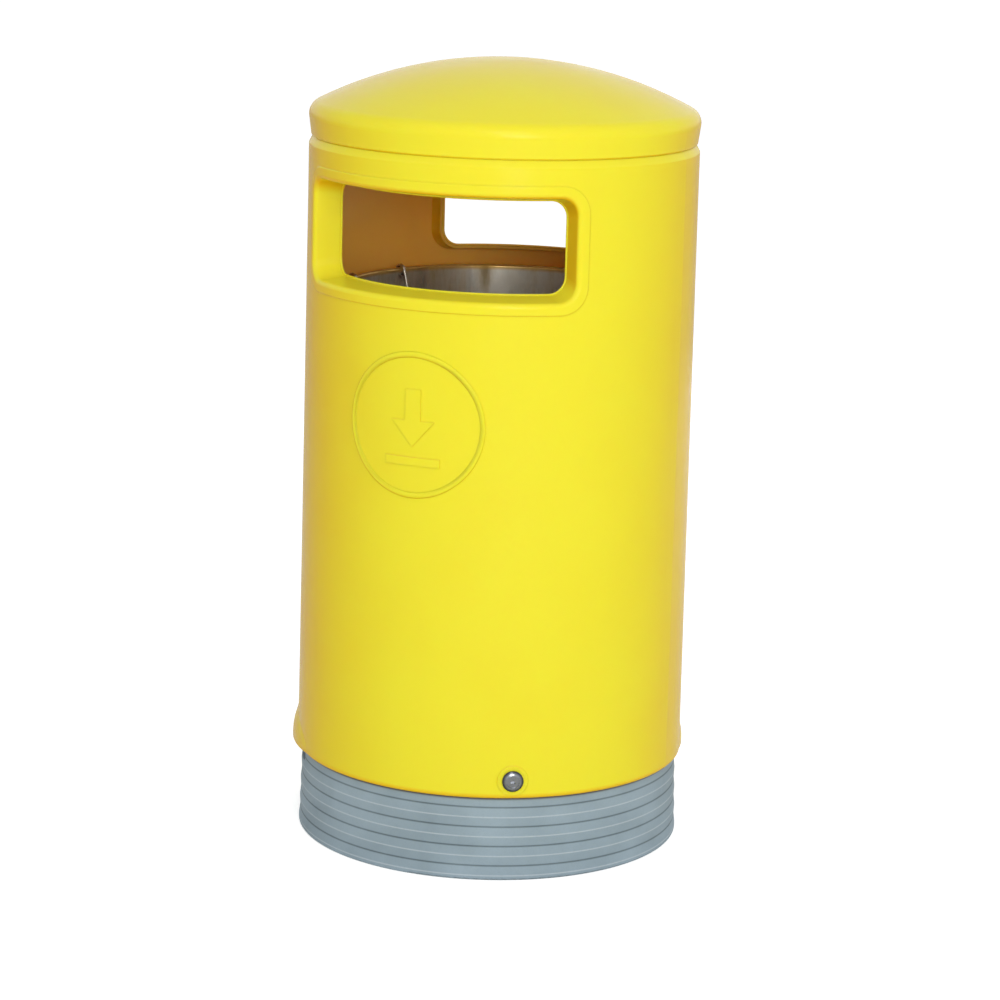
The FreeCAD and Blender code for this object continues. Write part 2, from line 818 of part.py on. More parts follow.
def proud_skin(low, high, proud):
    """The outline of a solid that stands a little proud of the shell's wall."""
    inner = "(shell_neck_radius - 2 * shell_wall - overrun)"
    return [
        (inner, low),
        (f"{wall_radius(low)} + {proud}", low),
        (f"{wall_radius(high)} + {proud}", high),
        (inner, high),
    ]


def outer_edge(edge, radius):
    """Test for an edge whose whole run lies outside that radius."""
    points = edge.discretize(5)
    return all(math.hypot(point.x, point.y) > radius for point in points)


def make_funnels():
    """The inward walls of each mouth."""
    return both_sides("funnel", mouth_wedge("funnel", "shell_wall", "throat_radius",
                                            "shell_neck_radius - shell_wall / 2"))


def make_mouths():
    return both_sides("mouth", mouth_wedge("mouth", "0", "throat_radius - overrun",
                                           "shell_foot_radius + overrun"))


def mouth_wedge(label, grow, inner, outer):
    """A sector that narrows inwards, larger all round by what it grows."""
    depth = "(shell_neck_radius + surround_proud - throat_radius)"
    slope = f"((rim_height - throat_height) / (2 * {depth}))"

    def half_height(radius):
        return f"(throat_height / 2 + {slope} * ({radius} - throat_radius) + {grow})"

    wedge = turned_body(label, [
        (inner, f"{MOUTH} - {half_height(inner)}"),
        (outer, f"{MOUTH} - {half_height(outer)}"),
        (outer, f"{MOUTH} + {half_height(outer)}"),
        (inner, f"{MOUTH} + {half_height(inner)}"),
    ], half_angle=f"(throat_half_angle + {grow} / throat_radius * 180 / pi)")
    return round_edges(wedge, radial_edge, f"throat_corner + {grow}")


def both_sides(label, piece):
    """The front piece and its copy on the back of the bin."""
    piece.Placement = at_angle(0)
    return piece, turned_copy(f"{label}_back", piece, 180)


def mouth_edges(shape):
    """The edges where the mouths break through their raised frames, found between
    the middles of the frame's bands and outside most of the surround's face."""
    low = size(f"{MOUTH} - (surround_height + rim_height) / 4")
    high = size(f"{MOUTH} + (surround_height + rim_height) / 4")
    widest = size("(throat_half_angle + surround_half_angle) / 2")
    face = size("shell_neck_radius + surround_proud - surround_round / 2")
    picked = []
    for number, edge in enumerate(shape.Edges, 1):
        box = edge.BoundBox
        points = edge.discretize(5)
        outer = all(math.hypot(point.x, point.y) > face for point in points)
        turn = max(math.degrees(math.atan2(abs(point.x), abs(point.y))) for point in points)
        if outer and box.ZMin > low and box.ZMax < high and turn < widest:
            picked.append(number)
    if not picked:
        raise ValueError("no mouth edge to round")
    return picked


def soften(label, base, numbers, radius):
    """Round the numbered edges of any solid."""
    rounded = doc.addObject("Part::Fillet", label)
    rounded.Label = label
    rounded.Base = base
    rounded.Edges = [(number, size(radius), size(radius)) for number in numbers]
    return rounded


# Roundel: a raised ring with a plain arrow over a bar

def make_emboss():
    centre = size("base_height + roundel_height")
    place = facing_out(0, centre)
    inner = "(shell_neck_radius - 2 * shell_wall - overrun)"
    outer = "(shell_foot_radius + overrun)"
    ring = turned_body("roundel_ring", [
        ("roundel_radius - roundel_bead_width / 2", inner),
        ("roundel_radius + roundel_bead_width / 2", inner),
        ("roundel_radius + roundel_bead_width / 2", outer),
        ("roundel_radius - roundel_bead_width / 2", outer),
    ])
    tip = "(arrow_top_height - arrow_length)"
    neck = f"({tip} + arrow_head_length)"
    arrow = padded_body("roundel_arrow", [
        ("0", tip),
        ("arrow_head_width / 2", neck),
        ("arrow_shaft_width / 2", neck),
        ("arrow_shaft_width / 2", "arrow_top_height"),
        ("-arrow_shaft_width / 2", "arrow_top_height"),
        ("-arrow_shaft_width / 2", neck),
        ("-arrow_head_width / 2", neck),
    ], outer)
    bar = padded_body("roundel_bar", [
        ("-bar_width / 2", f"{tip} - bar_gap - bar_height"),
        ("bar_width / 2", f"{tip} - bar_gap - bar_height"),
        ("bar_width / 2", f"{tip} - bar_gap"),
        ("-bar_width / 2", f"{tip} - bar_gap"),
    ], outer)
    for piece in (ring, arrow, bar):
        piece.Placement = place
    low = "(base_height + roundel_height - roundel_radius - overrun)"
    high = "(base_height + roundel_height + roundel_radius + overrun)"
    skin = turned_body("roundel_skin", proud_skin(low, high, "emboss_proud"))
    return overlap("roundel", joined("roundel_shapes", ring, arrow, bar), skin)


# Hood: a domed cap with an inward flange, bolted to the ledge from below

def make_hood():
    rise = "(hood_height - hood_edge_height)"
    top = f"({SEAM} + hood_height)"
    edge = f"({SEAM} + hood_edge_height)"
    inner_edge = "(hood_edge_radius - hood_wall)"
    cap = turned_body("hood_cap", [
        ("0", top),
        ("0", f"{top} - hood_wall"),
        (inner_edge, f"{edge} - hood_wall"),
        ("hood_foot_radius - hood_wall", f"{SEAM} + hood_flange_thickness"),
        ("hood_flange_radius", f"{SEAM} + hood_flange_thickness"),
        ("hood_flange_radius", SEAM),
        ("seam_radius", SEAM),
        ("hood_foot_radius", f"{SEAM} + hood_foot_bevel"),
        ("hood_edge_radius", edge),
    ], bends={
        1: (f"({rise} ^ 2 + {inner_edge} ^ 2) / (2 * {rise})", 1),
        8: (f"({rise} ^ 2 + hood_edge_radius ^ 2) / (2 * {rise})", -1),
    })
    round_edges(cap, ring_edge("hood_edge_radius", edge), "hood_corner_round")
    round_edges(cap, ring_edge(inner_edge, f"{edge} - hood_wall"), "hood_corner_round - hood_wall")
    boss = cylinder("insert_boss", "insert_boss_radius", "insert_boss_height")
    hole = cylinder("insert_hole", "insert_radius", "insert_length + overrun")
    doc.recompute()
    seam = size(SEAM)
    circle = size("hood_bolt_circle")
    count = int(size("hood_bolt_count"))
    bosses = copies("insert_bosses", boss, ring_places(count, circle, seam, 180 / count))
    holes = copies("insert_holes", hole, ring_places(count, circle, seam - size("overrun"), 180 / count))
    keep(cut("hood", joined("hood_with_bosses", cap, bosses), holes))
    make_hood_fixings(ring_places(count, circle, seam, 180 / count))


def make_ledge_holes():
    hole = cylinder("ledge_hole", "hood_bolt_radius + bolt_play", "ledge_thickness + 2 * overrun")
    doc.recompute()
    count = int(size("hood_bolt_count"))
    low = size(f"{SEAM} - ledge_thickness - overrun")
    return copies("ledge_holes", hole, ring_places(count, size("hood_bolt_circle"), low, 180 / count))


def make_hood_fixings(places):
    insert = turned_body("hood_insert", [
        ("hood_bolt_radius + fit_play", "0"),
        ("insert_radius - fit_play", "0"),
        ("insert_radius - fit_play", "insert_length"),
        ("hood_bolt_radius + fit_play", "insert_length"),
    ])
    keep(copies("hood_inserts", insert, places))
    washer = turned_body("hood_washer", [
        ("hood_bolt_radius + fit_play", "-ledge_thickness - hood_washer_thickness"),
        ("hood_washer_radius", "-ledge_thickness - hood_washer_thickness"),
        ("hood_washer_radius", "-ledge_thickness"),
        ("hood_bolt_radius + fit_play", "-ledge_thickness"),
    ])
    keep(copies("hood_washers", washer, places))
    head = nut_body("hood_bolt_head", "hood_bolt_head_width", None, "hood_bolt_head_height")
    under = "(ledge_thickness + hood_washer_thickness)"
    head.Placement = Placement(Vector(0, 0, -size(f"{under} + hood_bolt_head_height")), Rotation())
    shank = cylinder("hood_bolt_shank", "hood_bolt_radius", "hood_bolt_length",
                     Placement(Vector(0, 0, -size(under)), Rotation()))
    bolt = joined("hood_bolt", head, shank)
    doc.recompute()
    keep(copies("hood_bolts", bolt, places))


# Liner: tapered sheet wall with a wired rim, two swages, a lap seam and a floor

def liner_radius(rise):
    """The liner wall's outer radius at a height above its foot."""
    slope = "(liner_taper / (liner_height - rim_bead_radius - liner_foot_height))"
    return f"(liner_foot_radius + ({rise} - liner_foot_height) * {slope})"


def liner_side(inset):
    """One face of the liner wall, from the foot to the rim, with its swages."""
    side = [
        (f"liner_foot_radius - {inset}", DISH),
        (f"liner_foot_radius - {inset}", f"{DISH} + liner_foot_height"),
    ]
    for swage in ("swage_low_height", "(liner_height - swage_high_depth)"):
        for offset, out in (("-swage_width / 2", "0"), ("0", "swage_depth"), ("swage_width / 2", "0")):
            rise = f"({swage} + {offset})"
            side.append((f"{liner_radius(rise)} + {out} - {inset}", f"{DISH} + {rise}"))
    side.append((f"liner_top_radius - {inset}", f"{DISH} + liner_height - rim_bead_radius"))
    return side


def make_liner():
    wall = turned_body("liner_tube", liner_side("0") + liner_side("liner_sheet")[::-1])
    bead_sketch = new_sketch(wall, "Bead", "XZ_Plane")
    draw_circle(bead_sketch, LINER_RIM_RADIUS, LINER_RIM, "rim_bead_radius")
    revolve(wall, bead_sketch, name="RolledBead")
    doc.recompute()
    low = "(liner_foot_height + liner_sheet)"
    high = "(liner_height - 3 * rim_bead_radius)"
    lap = turned_body("liner_lap", [
        (f"{liner_radius(low)} - liner_sheet / 2", f"{DISH} + {low}"),
        (f"{liner_radius(low)} + liner_sheet", f"{DISH} + {low}"),
        (f"{liner_radius(high)} + liner_sheet", f"{DISH} + {high}"),
        (f"{liner_radius(high)} - liner_sheet / 2", f"{DISH} + {high}"),
    ], half_angle="(seam_lap_width / liner_foot_radius * 90 / pi)")
    lap.Placement = at_angle(size("liner_seam_angle"))
    bore = doc.addObject("Part::Torus", "rim_bore")
    bind(bore, Radius1=LINER_RIM_RADIUS, Radius2="rim_wire_radius")
    bore.Placement = Placement(Vector(0, 0, size(LINER_RIM)), Rotation())
    doc.recompute()
    keep(cut("liner_wall", joined("liner_lapped", wall, lap), bore, make_rivet_holes(), *make_eye_holes()))
    wire = doc.addObject("Part::Torus", "liner_rim_wire")
    wire.Label = "liner_rim_wire"
    bind(wire, Radius1=LINER_RIM_RADIUS, Radius2="rim_wire_radius - fit_play / 2")
    wire.Placement = bore.Placement
    keep(wire)
    make_liner_floor()
    make_liner_rivets()


def make_liner_floor():
    radius = "(liner_foot_radius - liner_sheet)"
    pan = turned_body("liner_pan", [
        ("0", f"{DISH} + liner_floor_height"),
        (f"{radius} - liner_sheet", f"{DISH} + liner_floor_height"),
        (f"{radius} - liner_sheet", DISH),
        (radius, DISH),
        (radius, f"{DISH} + liner_floor_height + liner_sheet"),
        ("0", f"{DISH} + liner_floor_height + liner_sheet"),
    ])
    drain = cylinder("drain", "drain_radius", "liner_sheet + 2 * overrun")
    doc.recompute()
    low = size(f"{DISH} + liner_floor_height - overrun")
    places = ring_places(int(size("drain_count")), size("drain_circle"), low, 0)
    keep(cut("liner_floor", pan, copies("drains", drain, places)))


def seam_rivet_places():
    places = []
    first = size("seam_rivet_first_height")
    for k in range(int(size("seam_rivet_count"))):
        rise = first + k * size("seam_rivet_spacing")
        place = facing_out(size("liner_seam_angle"), size(DISH) + rise)
        reach = size(liner_radius(str(rise)))
        places.append(place.multiply(Placement(Vector(0, 0, reach), Rotation())))
    return places


def make_rivet_holes():
    hole = cylinder("rivet_hole", "rivet_radius + fit_play", "overrun",
                    Placement(Vector(0, 0, -size("overrun / 2")), Rotation()))
    doc.recompute()
    return copies("rivet_holes", hole, seam_rivet_places())


def make_liner_rivets():
    outside = "liner_sheet + rivet_seat"
    inside = "-liner_sheet - rivet_seat"
    rivet = turned_body("liner_rivet", [
        ("0", f"{inside} - rivet_head_height / 2"),
        ("rivet_head_radius", f"{inside} - rivet_head_height / 2"),
        ("rivet_head_radius", inside),
        ("rivet_radius", inside),
        ("rivet_radius", outside),
        ("rivet_head_radius", outside),
        ("rivet_head_radius / 2", f"{outside} + rivet_head_height"),
        ("0", f"{outside} + rivet_head_height"),
    ])
    keep(copies("liner_rivets", rivet, seam_rivet_places()))


# Liner handles: a wire bail whose eyes go round the rim and through the wall

def handle_place(angle):
    """At the middle of the line through both eyes: X along it, Y outwards, Z up."""
    reach = math.sqrt(size(LINER_RIM_RADIUS) ** 2 - size("handle_span / 2") ** 2)
    turn = Rotation(Vector(0, 0, 1), angle + 180)
    return Placement(turn.multVec(Vector(0, reach, 0)) + Vector(0, 0, size(LINER_RIM)), turn)


def make_eye_holes():
    """Room for the eyes in the liner's wall, just under its rim."""
    rings = []
    for name, angle in handle_angles():
        for side in (-1, 1):
            ring = doc.addObject("Part::Torus", f"eye_room_{name}")
            bind(ring, Radius1="handle_eye_radius", Radius2="handle_wire_radius + handle_eye_play")
            local = Placement(Vector(side * size("handle_span / 2"), 0, 0), Rotation(Vector(0, 1, 0), 90))
            ring.Placement = handle_place(angle).multiply(local)
            rings.append(ring)
    doc.recompute()
    return rings


def handle_angles():
    angle = size("handle_angle")
    return [("left", -angle), ("right", 180 - angle)]


def make_handle(name, angle):
    handle = new_body(f"liner_handle_{name}")
    half = "(handle_span / 2)"
    lap = "(handle_wire_radius / 2)"
    path = new_sketch(handle, "Path", "XZ_Plane")
    path.AttachmentOffset = Placement(Vector(0, 0, size("handle_eye_radius")), Rotation())
    draw(path, [
        (f"-{half}", lap),
        (f"-{half}", "handle_corner - handle_depth"),
        (f"handle_corner - {half}", "-handle_depth"),
        (f"{half} - handle_corner", "-handle_depth"),
        (half, "handle_corner - handle_depth"),
        (half, lap),
    ], bends={1: ("handle_corner", -1), 3: ("handle_corner", -1)}, closed=False)
    start = new_sketch(handle, "WireEnd", "XY_Plane")
    start.AttachmentOffset = Placement(Vector(0, 0, size(lap)), Rotation())
    draw_circle(start, f"-{half}", "-handle_eye_radius", "handle_wire_radius")
    bail = handle.newObject("PartDesign::AdditivePipe", "Bail")
    bail.Profile = start
    bail.Spine = (path, [])
    doc.recompute()
    eyes = new_sketch(handle, "EyeSection", "XY_Plane")
    draw_circle(eyes, f"-{half}", "-handle_eye_radius", "handle_wire_radius + fit_play")
    draw_circle(eyes, half, "-handle_eye_radius", "handle_wire_radius + fit_play")
    revolve(handle, eyes, axis="H_Axis", name="Eyes")
    tilt = Placement(Vector(), Rotation(Vector(1, 0, 0), -size("handle_tilt")))
    handle.Placement = handle_place(angle).multiply(tilt)
    doc.recompute()
    return keep(handle)


# Lock: a barrel in the skirt, clamped by a nut, with a plug that turns a cam

def lock_place():
    return facing_out(size("lock_angle"), size(LOCK_HEIGHT))


def make_lock_boss():
    boss = cylinder("lock_boss", "lock_boss_radius", "lock_boss_depth")
    face = size(LOCK_BOSS_FACE) - size("lock_boss_depth")
    boss.Placement = lock_place().multiply(Placement(Vector(0, 0, face), Rotation()))
    return boss


def make_lock_hole():
    hole = cylinder("lock_hole", "lock_barrel_radius + fit_play", "lock_boss_depth + 2 * overrun")
    start = size(LOCK_BOSS_FACE) - size("lock_boss_depth + overrun")
    hole.Placement = lock_place().multiply(Placement(Vector(0, 0, start), Rotation()))
    return hole


def make_lock():
    face = f"({LOCK_FACE_BACK} + lock_face_edge)"
    crown = f"({LOCK_FACE_BACK} + lock_face_dome)"
    opening = "(plug_head_radius + turn_play)"
    seat = f"({crown} - plug_head_depth - plug_sunk)"
    housing = turned_body("lock_housing", [
        ("plug_radius + turn_play", BARREL_END),
        ("lock_barrel_radius", BARREL_END),
        ("lock_barrel_radius", LOCK_FACE_BACK),
        ("lock_face_radius", LOCK_FACE_BACK),
        ("lock_face_radius", face),
        (opening, crown),
        (opening, seat),
        ("plug_radius + turn_play", seat),
    ], bends={4: ("lock_face_bend_radius", -1)})
    gasket = turned_body("lock_gasket", [
        ("lock_barrel_radius + fit_play", LOCK_BOSS_FACE),
        ("lock_gasket_radius", LOCK_BOSS_FACE),
        ("lock_gasket_radius", LOCK_FACE_BACK),
        ("lock_barrel_radius + fit_play", LOCK_FACE_BACK),
    ])
    nut = nut_body("lock_nut", "lock_nut_width", "lock_barrel_radius + fit_play", "lock_nut_thickness")
    nut_back = size(LOCK_BOSS_FACE) - size("lock_boss_depth + lock_nut_thickness")
    for piece in (housing, gasket):
        piece.Placement = lock_place()
        keep(piece)
    nut.Placement = lock_place().multiply(Placement(Vector(0, 0, nut_back), Rotation()))
    keep(nut)
    make_plug(crown, seat)
    make_cam()


def make_plug(crown, seat):
    head_top = f"({crown} - plug_sunk)"
    stem = turned_body("plug_stem", [
        ("0", f"{BARREL_END} - spindle_length"),
        ("spindle_radius", f"{BARREL_END} - spindle_length"),
        ("spindle_radius", f"{CAM_FRONT}"),
        ("plug_radius", f"{CAM_FRONT}"),
        ("plug_radius", f"{seat} + turn_play"),
        ("plug_head_radius", f"{seat} + turn_play"),
        ("plug_head_radius", head_top),
        ("0", head_top),
    ])
    reach = "(key_width / sqrt(3))"
    socket = padded_body("key_socket", [
        (f"{reach} * cos({90 + k * 120})", f"{reach} * sin({90 + k * 120})") for k in range(3)
    ], "key_depth + overrun")
    stem.Placement = lock_place()
    start = size(head_top) - size("key_depth")
    socket.Placement = lock_place().multiply(Placement(Vector(0, 0, start), Rotation()))
    keep(cut("lock_plug", stem, socket))


def make_cam():
    half = "(cam_width / 2)"
    arm = padded_body("cam_arm", [
        (f"-{half}", "0"),
        (f"-{half}", f"{half} - cam_length"),
        (half, f"{half} - cam_length"),
        (half, "0"),
    ], "cam_thickness", bends={1: (half, -1, f"{half} - cam_length"), 3: (half, -1, "0")})
    hole = cylinder("cam_hole", "spindle_radius + fit_play / 2", "cam_thickness + 2 * overrun",
                    Placement(Vector(0, 0, -size("overrun")), Rotation()))
    cam = cut("lock_cam", arm, hole)
    back = size(f"{CAM_FRONT} - cam_thickness")
    cam.Placement = lock_place().multiply(Placement(Vector(0, 0, back), Rotation()))
    keep(cam)
    nut = nut_body("cam_nut", "cam_nut_width", "spindle_radius + fit_play / 2", "cam_nut_thickness")
    nut_back = back - size("cam_nut_thickness")
    nut.Placement = lock_place().multiply(Placement(Vector(0, 0, nut_back), Rotation()))
    keep(nut)


make_base()
make_keep()
make_liner()
for name, angle in handle_angles():
    make_handle(name, angle)
make_shell()
make_hood()
make_lock()
doc.recompute()

faults = [
    [owner.Label for owner in thing.InList] + [thing.Label]
    for thing in doc.Objects if {"Invalid", "Error"} & set(thing.State)
]
if faults:
    raise RuntimeError(f"failed objects: {faults}")
for piece in PARTS:
    if piece.Shape.isNull() or not piece.Shape.isValid():
        raise RuntimeError(f"bad shape: {piece.Label}")

os.makedirs("parts", exist_ok=True)
for piece in PARTS:
    piece.Shape.exportStep(f"parts/{piece.Label}.step")
    print(f"{piece.Label}: {len(piece.Shape.Solids)} solids, {piece.Shape.Volume:.0f} mm3")
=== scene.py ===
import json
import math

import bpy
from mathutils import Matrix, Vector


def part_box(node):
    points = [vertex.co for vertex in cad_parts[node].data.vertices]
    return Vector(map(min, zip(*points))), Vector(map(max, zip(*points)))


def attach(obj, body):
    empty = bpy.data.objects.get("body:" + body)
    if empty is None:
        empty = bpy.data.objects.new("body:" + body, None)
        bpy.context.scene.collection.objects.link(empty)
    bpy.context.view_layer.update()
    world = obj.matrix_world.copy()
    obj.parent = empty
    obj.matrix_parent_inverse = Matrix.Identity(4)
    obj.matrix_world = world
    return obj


bl_info = {
    "name": "Hooded Litter Bin",
    "version": (1, 0, 0),
    "blender": (4, 5, 0),
    "location": "View3D > Sidebar > Litter Bin",
    "description": "Gives the hooded litter bin its finishes and small pieces, and sets its stage",
    "category": "Object",
}

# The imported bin, in metres: it stands on the floor, and its front mouth faces -Y
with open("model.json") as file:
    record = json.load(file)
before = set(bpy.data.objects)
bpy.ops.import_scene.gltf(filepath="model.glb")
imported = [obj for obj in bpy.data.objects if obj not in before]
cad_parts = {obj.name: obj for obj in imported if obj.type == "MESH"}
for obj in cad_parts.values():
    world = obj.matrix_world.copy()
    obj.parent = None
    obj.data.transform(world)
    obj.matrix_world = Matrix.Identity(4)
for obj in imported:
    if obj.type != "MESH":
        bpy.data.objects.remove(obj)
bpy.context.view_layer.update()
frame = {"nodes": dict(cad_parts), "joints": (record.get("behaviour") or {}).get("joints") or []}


def mm(length):
    return length / 1000


def linear(hex_code):
    """An sRGB hex colour as Blender's linear red, green and blue."""
    channels = [int(hex_code[k:k + 2], 16) / 255 for k in (1, 3, 5)]
    return [c / 12.92 if c <= 0.04045 else ((c + 0.055) / 1.055) ** 2.4 for c in channels]


def rgba(colour):
    """A colour for a node's socket, from an sRGB hex code or from a property's linear values."""
    return (*(linear(colour) if isinstance(colour, str) else colour), 1.0)


def round_bin(angle, radius=1.0, height=0.0):
    """A point round the bin's axis, its angle counted from the front towards +X."""
    return Vector((radius * math.sin(angle), -radius * math.cos(angle), height))


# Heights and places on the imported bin
SKIRT_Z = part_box("body_shell")[0].z
SEAM_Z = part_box("hood")[0].z
RIM_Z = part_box("liner_rim_wire")[1].z
LOCK_FACE = sum(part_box("lock_gasket"), Vector()) / 2
HANDLE_PIVOTS = [Vector(joint["pos_m"]) for joint in frame["joints"]
                 if joint["name"].startswith("handle")]

# A mouth's walls narrow inwards and end at its throat: a rounded rectangle that lies on a
# cylinder round the bin's axis
MOUTH_Z = SEAM_Z - mm(112.2)
THROAT_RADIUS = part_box("hood")[1].x - mm(35.5)
THROAT_HALF_HEIGHT = mm(60)
THROAT_HALF_ANGLE = math.radians(46.2)
THROAT_CORNER = mm(23)

ROUNDEL_Z = SKIRT_Z + mm(480.5)
ROUNDEL_RADIUS = mm(90)
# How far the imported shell's own thin ring stands proud of the wall
THIN_RING_RISE = mm(1.3)

# The base's ribs
FIRST_GROOVE_Z = mm(19.5)
RIB_PITCH = mm(26)

# From a handle's pivot to the middle of each of its two eyes
EYE_ALONG = mm(55.5)
EYE_DROP = mm(7)


class BinColours(bpy.types.PropertyGroup):
    """Colours of the finishes."""

    # Painted shade: the deeper, oranger yellow painted on the sides turned across the light
    painted_shade_yellow: bpy.props.FloatVectorProperty(
        name="Yellow", description="The plastic where the sun doesn't reach it",
        subtype="COLOR", size=3, default=linear("#EFBF12"))
    # Painted light: the paler yellow painted on the sides facing along the light, and opposite
    # them
    painted_lit_yellow: bpy.props.FloatVectorProperty(
        name="Sun-faded yellow", description="The plastic on the side that faces the sun",
        subtype="COLOR", size=3, default=linear("#F3E736"))
    # Painted shade: a darker golden band painted along the skirt's down-facing lowest edge
    painted_hem_shade_yellow: bpy.props.FloatVectorProperty(
        name="Hem yellow", description="The skirt's lowest few millimetres, where dirt has stayed",
        subtype="COLOR", size=3, default=linear("#EDB40C"))
    # Painted light: a lighter, oranger yellow on the inner walls, painted as light bouncing inside
    painted_inner_glow_yellow: bpy.props.FloatVectorProperty(
        name="Inner yellow", description="The plastic inside the shell, which no sun reaches",
        subtype="COLOR", size=3, default=linear("#FFC458"))
    grey: bpy.props.FloatVectorProperty(
        name="Base grey", description="The moulded base",
        subtype="COLOR", size=3, default=linear("#9AACB7"))
    # Painted highlight: the pale line painted along the base's ridges
    painted_ridge_highlight_grey: bpy.props.FloatVectorProperty(
        name="Rubbed grey", description="The base's ribs where feet and brooms rub them",
        subtype="COLOR", size=3, default=linear("#CBD5DA"))
    # Dust and painted shade: the darker colour in the base's grooves
    groove_dirt_and_shade: bpy.props.FloatVectorProperty(
        name="Groove dirt", description="Dust and splashes held in the base's grooves",
        subtype="COLOR", size=3, default=linear("#5B6A70"))
    # Painted shadow: the dark band on the base in the gap under the skirt
    painted_skirt_shadow: bpy.props.FloatVectorProperty(
        name="Grime", description="Dirt in the gap under the skirt",
        subtype="COLOR", size=3, default=linear("#4B4233"))
    zinc: bpy.props.FloatVectorProperty(
        name="Zinc", description="Galvanised sheet",
        subtype="COLOR", size=3, default=linear("#D2D0C4"))
    dark_zinc: bpy.props.FloatVectorProperty(
        name="Dark zinc", description="The darkest crystals of the galvanised sheet",
        subtype="COLOR", size=3, default=linear("#B3B3AB"))
    stain: bpy.props.FloatVectorProperty(
        name="Stain", description="Dull streaks on the liner",
        subtype="COLOR", size=3, default=linear("#A08F66"))
    # Painted reflection: the yellow shell's reflection painted along the liner's rim bead
    painted_yellow_reflection: bpy.props.FloatVectorProperty(
        name="Rubbed yellow", description="Plastic that the shell has left on the liner's rim",
        subtype="COLOR", size=3, default=linear("#C39A3C"))
    rust: bpy.props.FloatVectorProperty(
        name="Rust", description="Rust where the handles rub",
        subtype="COLOR", size=3, default=linear("#5A2A12"))
    wire: bpy.props.FloatVectorProperty(
        name="Wire", description="The handles' galvanised wire",
        subtype="COLOR", size=3, default=linear("#B9B6AA"))
    plate: bpy.props.FloatVectorProperty(
        name="Plate", description="Zinc-plated bolts, nuts, washers and rivets",
        subtype="COLOR", size=3, default=linear("#BDBDB6"))
    chrome: bpy.props.FloatVectorProperty(
        name="Chrome", description="The lock's face",
        subtype="COLOR", size=3, default=linear("#8E9197"))
    brass: bpy.props.FloatVectorProperty(
        name="Brass", description="The inserts that hold the hood's bolts",
        subtype="COLOR", size=3, default=linear("#C9A34E"))
    concrete: bpy.props.FloatVectorProperty(
        name="Concrete", description="The ballast",
        subtype="COLOR", size=3, default=linear("#9A978F"))
    rubber: bpy.props.FloatVectorProperty(
        name="Rubber", description="The lock's gasket",
        subtype="COLOR", size=3, default=linear("#191919"))


class BinSurfaces(bpy.types.PropertyGroup):
    """Sizes of the small pieces and of the textures on the bin."""

    # Painted light: the direction and heights along which the yellow is painted paler, close to
    # the lamps' own
    sun_angle: bpy.props.FloatProperty(
        name="Sunny side", description="The side that has faded most, like the one behind it",
        subtype="ANGLE", default=math.radians(28))
    painted_light_height: bpy.props.FloatProperty(
        name="Sun height", description="How steeply the sun that faded the shell fell",
        subtype="ANGLE", default=math.radians(38))
    hood_painted_light_height: bpy.props.FloatProperty(
        name="Sun height on the hood", description="Low, as the hood's top has faded least",
        subtype="ANGLE", default=math.radians(24))
    peel: bpy.props.FloatProperty(
        name="Orange peel", description="Width of the moulded skin's fine dimples",
        unit="LENGTH", default=mm(7))
    waviness: bpy.props.FloatProperty(
        name="Waviness", description="Length of the slow waves that cooling leaves",
        unit="LENGTH", default=mm(110))
    light_depth: bpy.props.FloatProperty(
        name="Light depth", description="How far light wanders inside the yellow wall",
        unit="LENGTH", default=mm(4))
    edge_softness: bpy.props.FloatProperty(
        name="Edge softness", description="Radius at which the shell's corners catch the light",
        unit="LENGTH", default=mm(3))
    base_softness: bpy.props.FloatProperty(
        name="Base softness", description="Radius at which the base's corners catch the light",
        unit="LENGTH", default=mm(0.8))
    lip_width: bpy.props.FloatProperty(
        name="Lip width", description="Width of the rounded lip on a mouth's inner edge",
        unit="LENGTH", default=mm(3.6))
    ring_width: bpy.props.FloatProperty(
        name="Ring width", description="Width of the roundel's soft ring",
        unit="LENGTH", default=mm(8))
    ring_rise: bpy.props.FloatProperty(
        name="Ring rise", description="How far the roundel's soft ring stands proud of the wall",
        unit="LENGTH", default=mm(1.5))
    spangle: bpy.props.FloatProperty(
        name="Spangle", description="Width of the zinc crystals on the liner",
        unit="LENGTH", default=mm(9))


class BinStage(bpy.types.PropertyGroup):
    """Camera and light."""

    camera_distance: bpy.props.FloatProperty(
        name="Camera distance", description="From the bin's axis, along the floor",
        unit="LENGTH", default=mm(4172.3))
    camera_height: bpy.props.FloatProperty(
        name="Camera height", description="Above the floor",
        unit="LENGTH", default=mm(1385.8))
    camera_angle: bpy.props.FloatProperty(
        name="Camera angle", description="Round the bin from its front",
        subtype="ANGLE", default=math.radians(24.5))
    camera_yaw: bpy.props.FloatProperty(
        name="Yaw", description="To the right of the bin's axis",
        subtype="ANGLE", default=math.radians(0.09))
    camera_pitch: bpy.props.FloatProperty(
        name="Pitch", description="Downwards",
        subtype="ANGLE", default=math.radians(12.692))
    camera_roll: bpy.props.FloatProperty(
        name="Roll", description="Tilt of the picture",
        subtype="ANGLE", default=math.radians(1.551))
    lens: bpy.props.FloatProperty(
        name="Lens", description="Focal length in millimetres on a 36 mm frame",
        default=115.05)
    key_power: bpy.props.FloatProperty(
        name="Key light", description="Power of the key light in watts, which the others follow",
        default=29.0)
    bright_side: bpy.props.FloatProperty(
        name="Bright side", description="Where the even light is strongest, from the front",
        subtype="ANGLE", default=math.radians(62))
    sky_bright: bpy.props.FloatProperty(
        name="Brightest sky", description="Strength of the even light from the bright side",
        default=0.67)
    sky_dim: bpy.props.FloatProperty(
        name="Dimmest sky", description="Strength of the even light from the other side",
        default=0.54)


# Nodes. A Map Range node's inputs are its value, the range that it comes from and the range that
# it goes to. A Mix node's numbers are inputs 2 and 3, its vectors 4 and 5, its colours 6 and 7.

